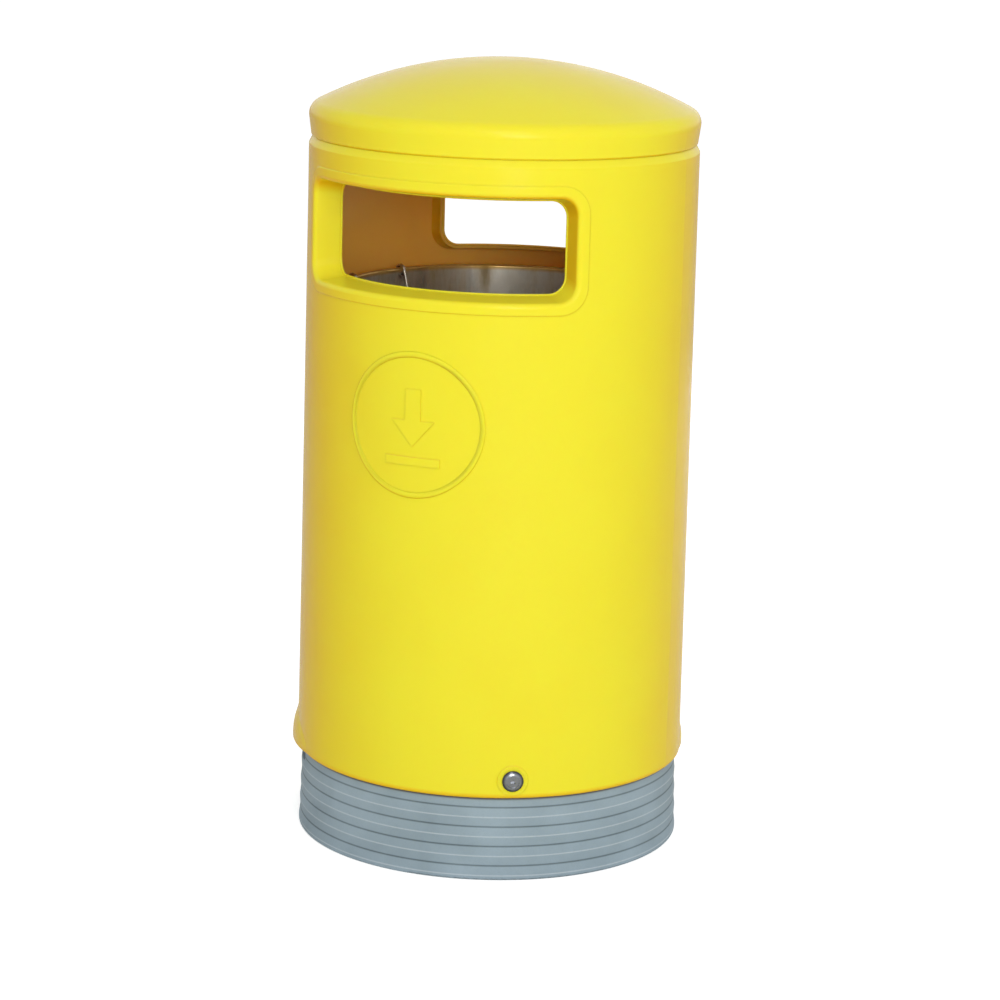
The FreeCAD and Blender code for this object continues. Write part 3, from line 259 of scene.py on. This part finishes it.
def add(tree, kind, inputs=(), output=0, **settings):
    """Adds a node with its settings, and fills its inputs, in their order or by name or number,
    with values or with other nodes' outputs. Gives back one output, or the node for None."""
    node = tree.nodes.new(kind)
    for name, value in settings.items():
        setattr(node, name, value)
    for slot, value in inputs.items() if isinstance(inputs, dict) else enumerate(inputs):
        if isinstance(value, bpy.types.NodeSocket):
            tree.links.new(value, node.inputs[slot])
        else:
            node.inputs[slot].default_value = value
    return node if output is None else node.outputs[output]


def new_material(name):
    """An empty material, its tree, and the places and normals of the object's own points."""
    material = bpy.data.materials.new(name)
    material.use_nodes = True
    tree = material.node_tree
    tree.nodes.clear()
    coordinates = add(tree, "ShaderNodeTexCoord", output=None).outputs
    return material, tree, coordinates["Object"], coordinates["Normal"]


def finish_material(tree, inputs):
    shader = add(tree, "ShaderNodeBsdfPrincipled", inputs)
    add(tree, "ShaderNodeOutputMaterial", {"Surface": shader}, None)


def coats(tree, colour, *layers):
    """Lays coats over a colour, each given by the share that it covers and its own colour."""
    for share, coat in layers:
        colour = add(tree, "ShaderNodeMix", {0: share, 6: colour, 7: coat}, 2, data_type="RGBA")
    return colour


def relief(tree, normal, *layers):
    """Shapes a surface by layers, each given by its heights, from 0 to 1, and its depth."""
    for heights, depth in layers:
        inputs = {"Height": heights, "Distance": depth, "Strength": 1.0}
        if normal:
            inputs["Normal"] = normal
        normal = add(tree, "ShaderNodeBump", inputs)
    return normal


def facing_away(tree, offset, normal):
    """How squarely a surface faces away from where its offset starts: 1, or -1 if towards it."""
    away = add(tree, "ShaderNodeVectorMath", (offset,), operation="NORMALIZE")
    return add(tree, "ShaderNodeVectorMath", (away, normal), "Value", operation="DOT_PRODUCT")


def outside_share(tree, place, normal):
    """1 on skin that the sky can reach; 0 on inward walls, which get the painted inner light."""
    from_axis = add(tree, "ShaderNodeVectorMath", (place, (1, 1, 0)), operation="MULTIPLY")
    from_middle = add(tree, "ShaderNodeVectorMath", (place, (0, 0, MOUTH_Z)), operation="SUBTRACT")
    shares = [add(tree, "ShaderNodeMapRange", (facing_away(tree, offset, normal), -0.75, -0.55))
              for offset in (from_axis, from_middle)]
    return add(tree, "ShaderNodeMath", shares, operation="MULTIPLY")


# Finishes

def yellow_polyethylene(name, painted_light_height):
    """Rotationally moulded polyethylene, pigmented yellow: a satin skin with faint orange peel and
    slow waves. Its colour holds painted light and shade: paler on the sides facing along the
    light and opposite them, deeper golden between, darker along the skirt's hem, and lighter
    and oranger on the inner walls, painted as light bouncing inside."""
    colours, surfaces = bpy.context.scene.bin_colours, bpy.context.scene.bin_surfaces
    material, tree, place, normal = new_material(name)
    # Painted light and shade: the sides facing along a direction close to the key light's, and
    # those opposite, are painted paler, the sides between deeper and oranger, in slightly uneven
    # patches
    painted_light_direction = round_bin(surfaces.sun_angle, math.cos(painted_light_height), math.sin(painted_light_height))
    facing = add(tree, "ShaderNodeVectorMath", (normal, painted_light_direction), "Value", operation="DOT_PRODUCT")
    turned = add(tree, "ShaderNodeMath", (facing,), operation="ABSOLUTE")
    painted_lit_share = add(tree, "ShaderNodeMapRange", (turned, 0.05, 0.75), interpolation_type="SMOOTHSTEP")
    clouds = add(tree, "ShaderNodeTexNoise", {"Vector": place, "Scale": 1 / mm(140)})
    uneven = add(tree, "ShaderNodeMapRange", (clouds, 0.3, 0.7, -0.06, 0.06))
    painted_light_mix = add(tree, "ShaderNodeMath", (painted_lit_share, uneven), operation="ADD")
    height = add(tree, "ShaderNodeSeparateXYZ", (place,), "Z")
    # Painted shade along the skirt's lowest edge, which faces down
    hem_shade = add(tree, "ShaderNodeMapRange", (height, SKIRT_Z + mm(3), SKIRT_Z + mm(7), 0.6, 0.0))
    outside = coats(tree, rgba(colours.painted_shade_yellow), (painted_light_mix, rgba(colours.painted_lit_yellow)),
                    (hem_shade, rgba(colours.painted_hem_shade_yellow)))
    # Painted light: the inner walls take the lighter, oranger inner yellow
    colour = coats(tree, rgba(colours.painted_inner_glow_yellow),
                   (outside_share(tree, place, normal), outside))
    waves = add(tree, "ShaderNodeTexNoise", {
        "Vector": place, "Scale": 1 / surfaces.waviness, "Detail": 1.0})
    dimples = add(tree, "ShaderNodeTexNoise", {"Vector": place, "Scale": 1 / surfaces.peel})
    soft = add(tree, "ShaderNodeBevel", {"Radius": surfaces.edge_softness}, samples=4)
    wear = add(tree, "ShaderNodeTexNoise", {"Vector": place, "Scale": 1 / mm(60)})
    # Years outdoors have taken most of the gloss; light still glows through the wall's skin
    finish_material(tree, {
        "Base Color": colour, "IOR": 1.5, "Specular IOR Level": 0.14,
        "Roughness": add(tree, "ShaderNodeMapRange", (wear, 0.3, 0.7, 0.18, 0.24)),
        "Normal": relief(tree, soft, (waves, mm(1)), (dimples, mm(0.12))),
        "Subsurface Weight": 0.6, "Subsurface Scale": surfaces.light_depth,
        "Subsurface Radius": (1.0, 0.8, 0.3)})
    return material


def grey_polyethylene():
    """The base's moulded polyethylene: blue-grey and duller than the shell, with dust and
    painted shade in the grooves, a painted highlight along the ridges, and a painted shadow
    in the gap under the skirt."""
    colours, surfaces = bpy.context.scene.bin_colours, bpy.context.scene.bin_surfaces
    material, tree, place, _ = new_material("moulded_polyethylene_grey")
    height = add(tree, "ShaderNodeSeparateXYZ", (place,), "Z")
    # Counted in ribs, 0 is the middle of a groove and 0.5 that of a ridge
    above_groove = add(tree, "ShaderNodeMath", (height, FIRST_GROOVE_Z), operation="SUBTRACT")
    ribs = add(tree, "ShaderNodeMath", (above_groove, RIB_PITCH), operation="DIVIDE")
    swing = add(tree, "ShaderNodeMath", (ribs, 0.5), operation="PINGPONG")
    # Dust and painted shade darken the grooves
    groove_dust_and_shade = add(tree, "ShaderNodeMapRange", (swing, 0.0, 0.07, 0.9, 0.0))
    # Painted highlight along the ridges
    ridge_highlight = add(tree, "ShaderNodeMapRange", (swing, 0.45, 0.5, 0.0, 0.6))
    clouds = add(tree, "ShaderNodeTexNoise", {"Vector": place, "Scale": 1 / mm(70), "Detail": 3.0})
    splashes = add(tree, "ShaderNodeMapRange", (clouds, 0.35, 0.75, 0.0, 0.3))
    dust_and_groove_shade = add(tree, "ShaderNodeMath", (groove_dust_and_shade, splashes), operation="ADD")
    grit = add(tree, "ShaderNodeTexNoise", {
        "Vector": place, "Scale": 1 / mm(2.5), "Detail": 4.0, "Roughness": 0.7})
    specks = add(tree, "ShaderNodeMapRange", (grit, 0.5, 0.8, 0.0, 0.25))
    # Painted shadow: a dark band on the base in the gap under the skirt, fading out above; the
    # base's top is nearly clean
    below = add(tree, "ShaderNodeMapRange", (height, SKIRT_Z - mm(4.5), SKIRT_Z - mm(2), 0.0, 0.9))
    above = add(tree, "ShaderNodeMapRange", (height, SKIRT_Z, SKIRT_Z + mm(4), 1.0, 0.15))
    gap = add(tree, "ShaderNodeMath", (below, above), operation="MULTIPLY")
    colour = coats(tree, rgba(colours.grey), (dust_and_groove_shade, rgba(colours.groove_dirt_and_shade)),
                   (ridge_highlight, rgba(colours.painted_ridge_highlight_grey)), (specks, rgba("#7C8A91")),
                   (gap, rgba(colours.painted_skirt_shadow)))
    waves = add(tree, "ShaderNodeTexNoise", {"Vector": place, "Scale": 1 / surfaces.waviness})
    dimples = add(tree, "ShaderNodeTexNoise", {"Vector": place, "Scale": 1 / mm(4), "Detail": 3.0})
    soft = add(tree, "ShaderNodeBevel", {"Radius": surfaces.base_softness}, samples=4)
    finish_material(tree, {
        "Base Color": colour, "Roughness": 0.6, "IOR": 1.5, "Specular IOR Level": 0.3,
        "Normal": relief(tree, soft, (waves, mm(1)), (dimples, mm(0.25)))})
    return material


def galvanised_sheet():
    """Galvanised sheet steel: zinc crystals a few millimetres wide, gone dull in streaks, most of
    all inside. A painted reflection of the yellow shell lies along the rim, and the handles'
    eyes have rubbed it rusty."""
    colours, surfaces = bpy.context.scene.bin_colours, bpy.context.scene.bin_surfaces
    material, tree, place, normal = new_material("galvanised_sheet")
    wobble = add(tree, "ShaderNodeTexNoise", {"Vector": place, "Scale": 1 / mm(20)}, "Color")
    bent = add(tree, "ShaderNodeMix", {0: 0.012, 4: place, 5: wobble}, 1, data_type="VECTOR")
    crystals = add(tree, "ShaderNodeTexVoronoi", {
        "Vector": bent, "Scale": 1 / surfaces.spangle}, "Color")
    tone = add(tree, "ShaderNodeSeparateColor", (crystals,))
    stretched = add(tree, "ShaderNodeMapping", {"Vector": place, "Scale": (1, 1, 0.22)})
    streaks = add(tree, "ShaderNodeTexNoise", {
        "Vector": stretched, "Scale": 1 / mm(28), "Detail": 4.0, "Roughness": 0.6})
    from_axis = add(tree, "ShaderNodeVectorMath", (place, (1, 1, 0)), operation="MULTIPLY")
    outward = facing_away(tree, from_axis, normal)
    dirt = add(tree, "ShaderNodeMapRange", (outward, -0.5, 0.5, 1.0, 0.45))
    streaky = add(tree, "ShaderNodeMapRange", (streaks, 0.42, 0.68, 0.0, 0.85))
    dull = add(tree, "ShaderNodeMath", (dirt, streaky), operation="MULTIPLY")
    rubbed = 0.0
    for pivot in HANDLE_PIVOTS:
        along = Vector((-pivot.y, pivot.x, 0)).normalized() * EYE_ALONG
        for eye in (pivot + along, pivot - along):
            centre = eye - Vector((0, 0, EYE_DROP))
            gap = add(tree, "ShaderNodeVectorMath", (place, centre), "Value", operation="DISTANCE")
            spot = add(tree, "ShaderNodeMapRange", (gap, mm(4), mm(11), 1.0, 0.0))
            rubbed = add(tree, "ShaderNodeMath", (spot, rubbed), operation="MAXIMUM")
    flakes = add(tree, "ShaderNodeTexNoise", {"Vector": place, "Scale": 1 / mm(4), "Detail": 3.0})
    broken = add(tree, "ShaderNodeMapRange", (flakes, 0.35, 0.6))
    rust = add(tree, "ShaderNodeMath", (rubbed, broken), operation="MULTIPLY")
    height = add(tree, "ShaderNodeSeparateXYZ", (place,), "Z")
    # Painted reflection of the yellow shell along the rim bead
    rim_reflection = add(tree, "ShaderNodeMapRange", (height, RIM_Z - mm(7), RIM_Z - mm(3), 0.0, 0.8))
    dark = add(tree, "ShaderNodeMapRange", (tone, 0.0, 1.0, 0.0, 0.35))
    colour = coats(tree, rgba(colours.zinc), (dark, rgba(colours.dark_zinc)),
                   (dull, rgba(colours.stain)), (rim_reflection, rgba(colours.painted_yellow_reflection)),
                   (rust, rgba(colours.rust)))
    matt = add(tree, "ShaderNodeMapRange", (dull, 0.0, 1.0, 0.34, 0.62))
    glint = add(tree, "ShaderNodeMapRange", (tone, 0.0, 1.0, -0.05, 0.05))
    bare = add(tree, "ShaderNodeMapRange", (dull, 0.0, 1.0, 0.95, 0.5))
    unrusted = add(tree, "ShaderNodeMapRange", (rust, 0.0, 1.0, 1.0, 0.1))
    finish_material(tree, {
        "Base Color": colour,
        "Roughness": add(tree, "ShaderNodeMath", (matt, glint), operation="ADD"),
        "Metallic": add(tree, "ShaderNodeMath", (bare, unrusted), operation="MULTIPLY"),
        "Normal": relief(tree, None, (streaks, mm(0.3)))})
    return material


def plated_metal(name, colour, roughness, grain_width, dark_ring=None):
    """Plated, chromed or machined metal: an even colour with fine wear that breaks its shine, a
    few millimetres wide, because the real grain is too fine to show. A dark ring is dirt and
    shadow at the edge of a round face: its middle and its two radii."""
    material, tree, place, _ = new_material(name)
    wear = add(tree, "ShaderNodeTexNoise", {
        "Vector": place, "Scale": 1 / grain_width, "Detail": 3.0, "Roughness": 0.6})
    worn = add(tree, "ShaderNodeMapRange", (wear, 0.45, 0.75, 0.0, 0.4))
    layers = [(worn, rgba("#6E6C66"))]
    if dark_ring:
        middle, inner, outer = dark_ring
        gap = add(tree, "ShaderNodeVectorMath", (place, middle), "Value", operation="DISTANCE")
        edge = add(tree, "ShaderNodeMapRange", (gap, inner, outer, 0.0, 0.85))
        layers.append((edge, rgba("#26262A")))
    rough = add(tree, "ShaderNodeMapRange", (wear, 0.3, 0.7, roughness * 0.8, roughness * 1.3))
    finish_material(tree, {
        "Base Color": coats(tree, rgba(colour), *layers), "Roughness": rough, "Metallic": 1.0,
        "Normal": relief(tree, None, (wear, mm(0.02)))})
    return material


def cast_concrete():
    """Cast concrete: pale grey cement with coarse sand and small air pits."""
    material, tree, place, _ = new_material("cast_concrete")
    sand = add(tree, "ShaderNodeTexNoise", {
        "Vector": place, "Scale": 1 / mm(3), "Detail": 4.0, "Roughness": 0.7})
    clouds = add(tree, "ShaderNodeTexNoise", {"Vector": place, "Scale": 1 / mm(60), "Detail": 3.0})
    bubbles = add(tree, "ShaderNodeTexVoronoi", {"Vector": place, "Scale": 1 / mm(12)})
    pits = add(tree, "ShaderNodeMapRange", (bubbles, 0.0, 0.15))
    pale = add(tree, "ShaderNodeMapRange", (clouds, 0.3, 0.7))
    grains = add(tree, "ShaderNodeMapRange", (sand, 0.45, 0.7, 0.0, 0.5))
    colour = coats(tree, rgba(bpy.context.scene.bin_colours.concrete), (pale, rgba("#B4B0A6")),
                   (grains, rgba("#7D7971")))
    finish_material(tree, {
        "Base Color": colour, "Roughness": 0.9,
        "Normal": relief(tree, None, (pits, mm(0.8)), (sand, mm(0.5)))})
    return material


def black_rubber():
    """Moulded black rubber: almost black, dull, with a faint bloom, coarser than the real one."""
    material, tree, place, _ = new_material("moulded_rubber")
    clouds = add(tree, "ShaderNodeTexNoise", {"Vector": place, "Scale": 1 / mm(3), "Detail": 3.0})
    bloom = add(tree, "ShaderNodeMapRange", (clouds, 0.4, 0.8, 0.0, 0.3))
    colour = coats(tree, rgba(bpy.context.scene.bin_colours.rubber), (bloom, rgba("#3A3A39")))
    finish_material(tree, {"Base Color": colour, "Roughness": 0.7})
    return material


def dress(material, *nodes):
    """Gives CAD nodes their finish."""
    for node in nodes:
        materials = frame["nodes"][node].data.materials
        materials.clear()
        materials.append(material)


# Pieces

class BIN_OT_shell(bpy.types.Operator):
    """Finishes the shell and the hood in yellow moulded plastic"""

    bl_idname = "litter_bin.shell"
    bl_label = "Shell and Hood"

    def execute(self, context):
        surfaces = context.scene.bin_surfaces
        dress(yellow_polyethylene("moulded_polyethylene_shell", surfaces.painted_light_height), "body_shell")
        dress(yellow_polyethylene("moulded_polyethylene_hood", surfaces.hood_painted_light_height), "hood")
        return {"FINISHED"}


class BIN_OT_base(bpy.types.Operator):
    """Finishes the ribbed base and its ballast"""

    bl_idname = "litter_bin.base"
    bl_label = "Base and Ballast"

    def execute(self, context):
        dress(grey_polyethylene(), "base_moulding")
        dress(cast_concrete(), "ballast_block")
        return {"FINISHED"}


class BIN_OT_liner(bpy.types.Operator):
    """Finishes the liner, its floor and its wire handles"""

    bl_idname = "litter_bin.liner"
    bl_label = "Liner"

    def execute(self, context):
        wire = plated_metal("galvanised_wire", context.scene.bin_colours.wire, 0.32, mm(5))
        dress(galvanised_sheet(), "liner_wall", "liner_floor")
        dress(wire, "liner_rim_wire", "liner_handle_left", "liner_handle_right")
        return {"FINISHED"}


class BIN_OT_lock(bpy.types.Operator):
    """Finishes the lock's chromed face and its gasket"""

    bl_idname = "litter_bin.lock"
    bl_label = "Lock"

    def execute(self, context):
        dark_ring = (LOCK_FACE, mm(10.8), mm(13))
        chrome = plated_metal(
            "chromed_zinc", context.scene.bin_colours.chrome, 0.2, mm(3), dark_ring)
        dress(chrome, "lock_housing", "lock_plug")
        dress(black_rubber(), "lock_gasket")
        return {"FINISHED"}


class BIN_OT_fixings(bpy.types.Operator):
    """Finishes the bolts, inserts, nuts, washers, rivets, cam and keep"""

    bl_idname = "litter_bin.fixings"
    bl_label = "Fixings"

    def execute(self, context):
        colours = context.scene.bin_colours
        dress(plated_metal("zinc_plated_steel", colours.plate, 0.35, mm(4)),
              "ballast_bolts", "ballast_washers", "ballast_nuts", "lock_keep", "keep_rivets",
              "liner_rivets", "hood_washers", "hood_bolts", "lock_nut", "lock_cam", "cam_nut")
        dress(plated_metal("machined_brass", colours.brass, 0.3, mm(2)), "hood_inserts")
        return {"FINISHED"}


class BIN_OT_beads(bpy.types.Operator):
    """Adds the rounded lips of the two mouths and the roundel's soft ring"""

    bl_idname = "litter_bin.beads"
    bl_label = "Lips and Ring"

    def execute(self, context):
        surfaces = context.scene.bin_surfaces
        plastic = frame["nodes"]["body_shell"].data.materials[0]
        lips = [mouth_lip("mouth_lip_front", -1, surfaces.lip_width / 2),
                mouth_lip("mouth_lip_back", 1, surfaces.lip_width / 2)]
        ring = soft_ring("roundel_soft_ring", surfaces.ring_width / 2, surfaces.ring_rise)
        for bead in (*lips, ring):
            bead.data.materials.append(plastic)
            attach(bead, "shell")
        return {"FINISHED"}


def mouth_lip(name, side, radius):
    """A round lip along a mouth's throat, made from that edge of the shell itself; its side is
    the sign of Y there."""
    lip = bpy.data.objects.new(name, frame["nodes"]["body_shell"].data.copy())
    lip.data.materials.clear()
    bpy.context.scene.collection.objects.link(lip)
    bpy.ops.object.select_all(action="DESELECT")
    bpy.context.view_layer.objects.active = lip
    lip.select_set(True)
    bpy.ops.object.mode_set(mode="EDIT")
    bpy.ops.mesh.select_all(action="SELECT")
    bpy.ops.mesh.remove_doubles(threshold=mm(0.01))
    bpy.ops.mesh.select_all(action="DESELECT")
    bpy.ops.object.mode_set(mode="OBJECT")
    for vertex in lip.data.vertices:
        vertex.select = not on_throat_edge(vertex.co, side)
    if all(vertex.select for vertex in lip.data.vertices):
        raise RuntimeError(f"{name} finds no throat edge on the shell")
    bpy.ops.object.mode_set(mode="EDIT")
    bpy.ops.mesh.delete(type="VERT")
    bpy.ops.mesh.select_all(action="SELECT")
    bpy.ops.mesh.delete(type="ONLY_FACE")
    bpy.ops.object.mode_set(mode="OBJECT")
    bpy.ops.object.convert(target="CURVE")
    lip.data.bevel_depth = radius
    lip.data.bevel_resolution = 3
    bpy.ops.object.convert(target="MESH")
    bpy.ops.object.shade_smooth()
    return lip


def on_throat_edge(point, side):
    """Whether a point of the shell lies on the throat's outline, on that side of the bin."""
    radius = math.hypot(point.x, point.y)
    if abs(radius - THROAT_RADIUS) > mm(0.5) or point.y * side < 0:
        return False
    along = THROAT_RADIUS * abs(math.atan2(point.x, abs(point.y)))
    past_flat_x = max(along - (THROAT_RADIUS * THROAT_HALF_ANGLE - THROAT_CORNER), 0)
    past_flat_z = max(abs(point.z - MOUTH_Z) - (THROAT_HALF_HEIGHT - THROAT_CORNER), 0)
    return abs(math.hypot(past_flat_x, past_flat_z) - THROAT_CORNER) < mm(1.5)


def soft_ring(name, half_width, rise):
    """The roundel's ring, softly rounded as moulded plastic is, half sunk in the shell's wall
    over the thin ring there."""
    shell = frame["nodes"]["body_shell"]
    bpy.ops.object.select_all(action="DESELECT")
    bpy.ops.mesh.primitive_torus_add(
        location=(0, 0, ROUNDEL_Z), rotation=(math.pi / 2, 0, 0), major_segments=128,
        minor_segments=16, major_radius=ROUNDEL_RADIUS, minor_radius=half_width)
    ring = bpy.context.object
    ring.name = name
    bpy.ops.transform.resize(value=(1, rise / half_width, 1), center_override=(0, 0, ROUNDEL_Z))
    bpy.ops.object.transform_apply()
    for vertex in ring.data.vertices:
        spoke = Vector((vertex.co.x, 0, vertex.co.z - ROUNDEL_Z)).normalized() * ROUNDEL_RADIUS
        in_front = Vector((spoke.x, -1, ROUNDEL_Z + spoke.z))
        found, place, _, _ = shell.ray_cast(in_front, Vector((0, 1, 0)))
        if not found:
            raise RuntimeError(f"{name} finds no wall to lie on")
        vertex.co.y += place.y + THIN_RING_RISE
    bpy.ops.object.shade_smooth()
    return ring


class BIN_OT_stage(bpy.types.Operator):
    """Sets the floor, the lights and the camera"""

    bl_idname = "litter_bin.stage"
    bl_label = "Stage"

    def execute(self, context):
        add_floor()
        add_lights()
        add_sky()
        add_camera()
        return {"FINISHED"}


# Stage

def add_floor():
    """A pale floor that looks almost white to the camera alone, and keeps the bin's shadow."""
    bpy.ops.object.select_all(action="DESELECT")
    bpy.ops.mesh.primitive_plane_add(size=120)
    floor = bpy.context.object
    floor.name = "floor"
    material = bpy.data.materials.new("pale_floor")
    material.use_nodes = True
    tree = material.node_tree
    tree.nodes.clear()
    seen = add(tree, "ShaderNodeLightPath", output="Is Camera Ray")
    paint = add(tree, "ShaderNodeBsdfDiffuse", {"Color": rgba("#EDEDEB")})
    glow = add(tree, "ShaderNodeEmission", {"Color": (1, 1, 1, 1), "Strength": 0.55})
    glowing = add(tree, "ShaderNodeAddShader", (paint, glow))
    surface = add(tree, "ShaderNodeMixShader", (seen, paint, glowing))
    add(tree, "ShaderNodeOutputMaterial", {"Surface": surface}, None)
    floor.data.materials.append(material)


# Each lamp's angle from the bin's front, its distance from the axis, its height and diameter in
# metres, its share of the key light's power, and whether the bin mirrors it. The lamp behind only
# fills: its own reflection would leave a white patch on the hood.
LAMPS = {
    "key": (math.radians(32), 3.4, 1.3, 1.3, 1.0, True),
    "high": (math.radians(26), 2.6, 2.5, 1.2, 0.5, True),
    "back": (math.radians(172), 3.4, 1.6, 2.6, 1.0, False),
}
LAMP_AIM = Vector((0, 0, 0.6))


def add_lights():
    for name, (angle, distance, height, size, share, mirrored) in LAMPS.items():
        spot = round_bin(angle, distance, height)
        turn = (LAMP_AIM - spot).to_track_quat("-Z", "Y").to_euler()
        bpy.ops.object.light_add(type="AREA", location=spot, rotation=turn)
        lamp = bpy.context.object
        lamp.name = f"{name}_light"
        lamp.data.shape = "DISK"
        lamp.data.size = size
        lamp.data.energy = bpy.context.scene.bin_stage.key_power * share
        lamp.visible_glossy = mirrored


def add_sky():
    """Even light, a little stronger from one side; seen or mirrored, it is plain white."""
    stage = bpy.context.scene.bin_stage
    world = bpy.data.worlds.new("studio")
    bpy.context.scene.world = world
    world.use_nodes = True
    tree = world.node_tree
    tree.nodes.clear()
    rays = add(tree, "ShaderNodeLightPath", output=None).outputs
    seen = rays["Is Camera Ray"]
    for ray in ("Is Glossy Ray", "Is Transmission Ray"):
        seen = add(tree, "ShaderNodeMath", (seen, rays[ray]), operation="MAXIMUM")
    direction = add(tree, "ShaderNodeTexCoord", output="Generated")
    facing = add(tree, "ShaderNodeVectorMath", (direction, round_bin(stage.bright_side)), "Value",
                 operation="DOT_PRODUCT")
    even = add(tree, "ShaderNodeMapRange", (facing, -1.0, 1.0, stage.sky_dim, stage.sky_bright))
    strength = add(tree, "ShaderNodeMix", {0: seen, 2: even, 3: 1.0})
    sky = add(tree, "ShaderNodeBackground", {"Color": (1, 1, 1, 1), "Strength": strength})
    add(tree, "ShaderNodeOutputWorld", {"Surface": sky}, None)


def add_camera():
    """Stands the camera where the photographer stood."""
    stage = bpy.context.scene.bin_stage
    spot = round_bin(stage.camera_angle, stage.camera_distance, stage.camera_height)
    look = (Matrix.Rotation(stage.camera_angle - stage.camera_yaw, 4, "Z")
            @ Matrix.Rotation(math.pi / 2 - stage.camera_pitch, 4, "X")
            @ Matrix.Rotation(stage.camera_roll, 4, "Z"))
    bpy.ops.object.camera_add(location=spot, rotation=look.to_euler())
    camera = bpy.context.object
    camera.name = "photographer"
    camera.data.sensor_width = 36
    camera.data.lens = stage.lens
    bpy.context.scene.camera = camera
    bpy.context.scene.view_settings.view_transform = "Standard"


class BIN_PT_panel(bpy.types.Panel):
    """Lists the bin's pieces and its settings in the sidebar"""

    bl_label = "Litter Bin"
    bl_space_type = "VIEW_3D"
    bl_region_type = "UI"
    bl_category = "Litter Bin"

    def draw(self, context):
        scene = context.scene
        for operator in OPERATORS:
            self.layout.operator(operator.bl_idname)
        for settings in (scene.bin_colours, scene.bin_surfaces, scene.bin_stage):
            box = self.layout.box()
            for name in settings.__annotations__:
                box.prop(settings, name)


OPERATORS = (BIN_OT_shell, BIN_OT_base, BIN_OT_liner, BIN_OT_lock, BIN_OT_fixings, BIN_OT_beads,
             BIN_OT_stage)
CLASSES = (BinColours, BinSurfaces, BinStage, *OPERATORS, BIN_PT_panel)


def register():
    for cls in CLASSES:
        bpy.utils.register_class(cls)
    bpy.types.Scene.bin_colours = bpy.props.PointerProperty(type=BinColours)
    bpy.types.Scene.bin_surfaces = bpy.props.PointerProperty(type=BinSurfaces)
    bpy.types.Scene.bin_stage = bpy.props.PointerProperty(type=BinStage)


def unregister():
    for name in ("bin_colours", "bin_surfaces", "bin_stage"):
        delattr(bpy.types.Scene, name)
    for cls in reversed(CLASSES):
        bpy.utils.unregister_class(cls)


def main():
    register()
    for operator in OPERATORS:
        group, name = operator.bl_idname.split(".")
        getattr(getattr(bpy.ops, group), name)()


if __name__ == "__main__":
    main()
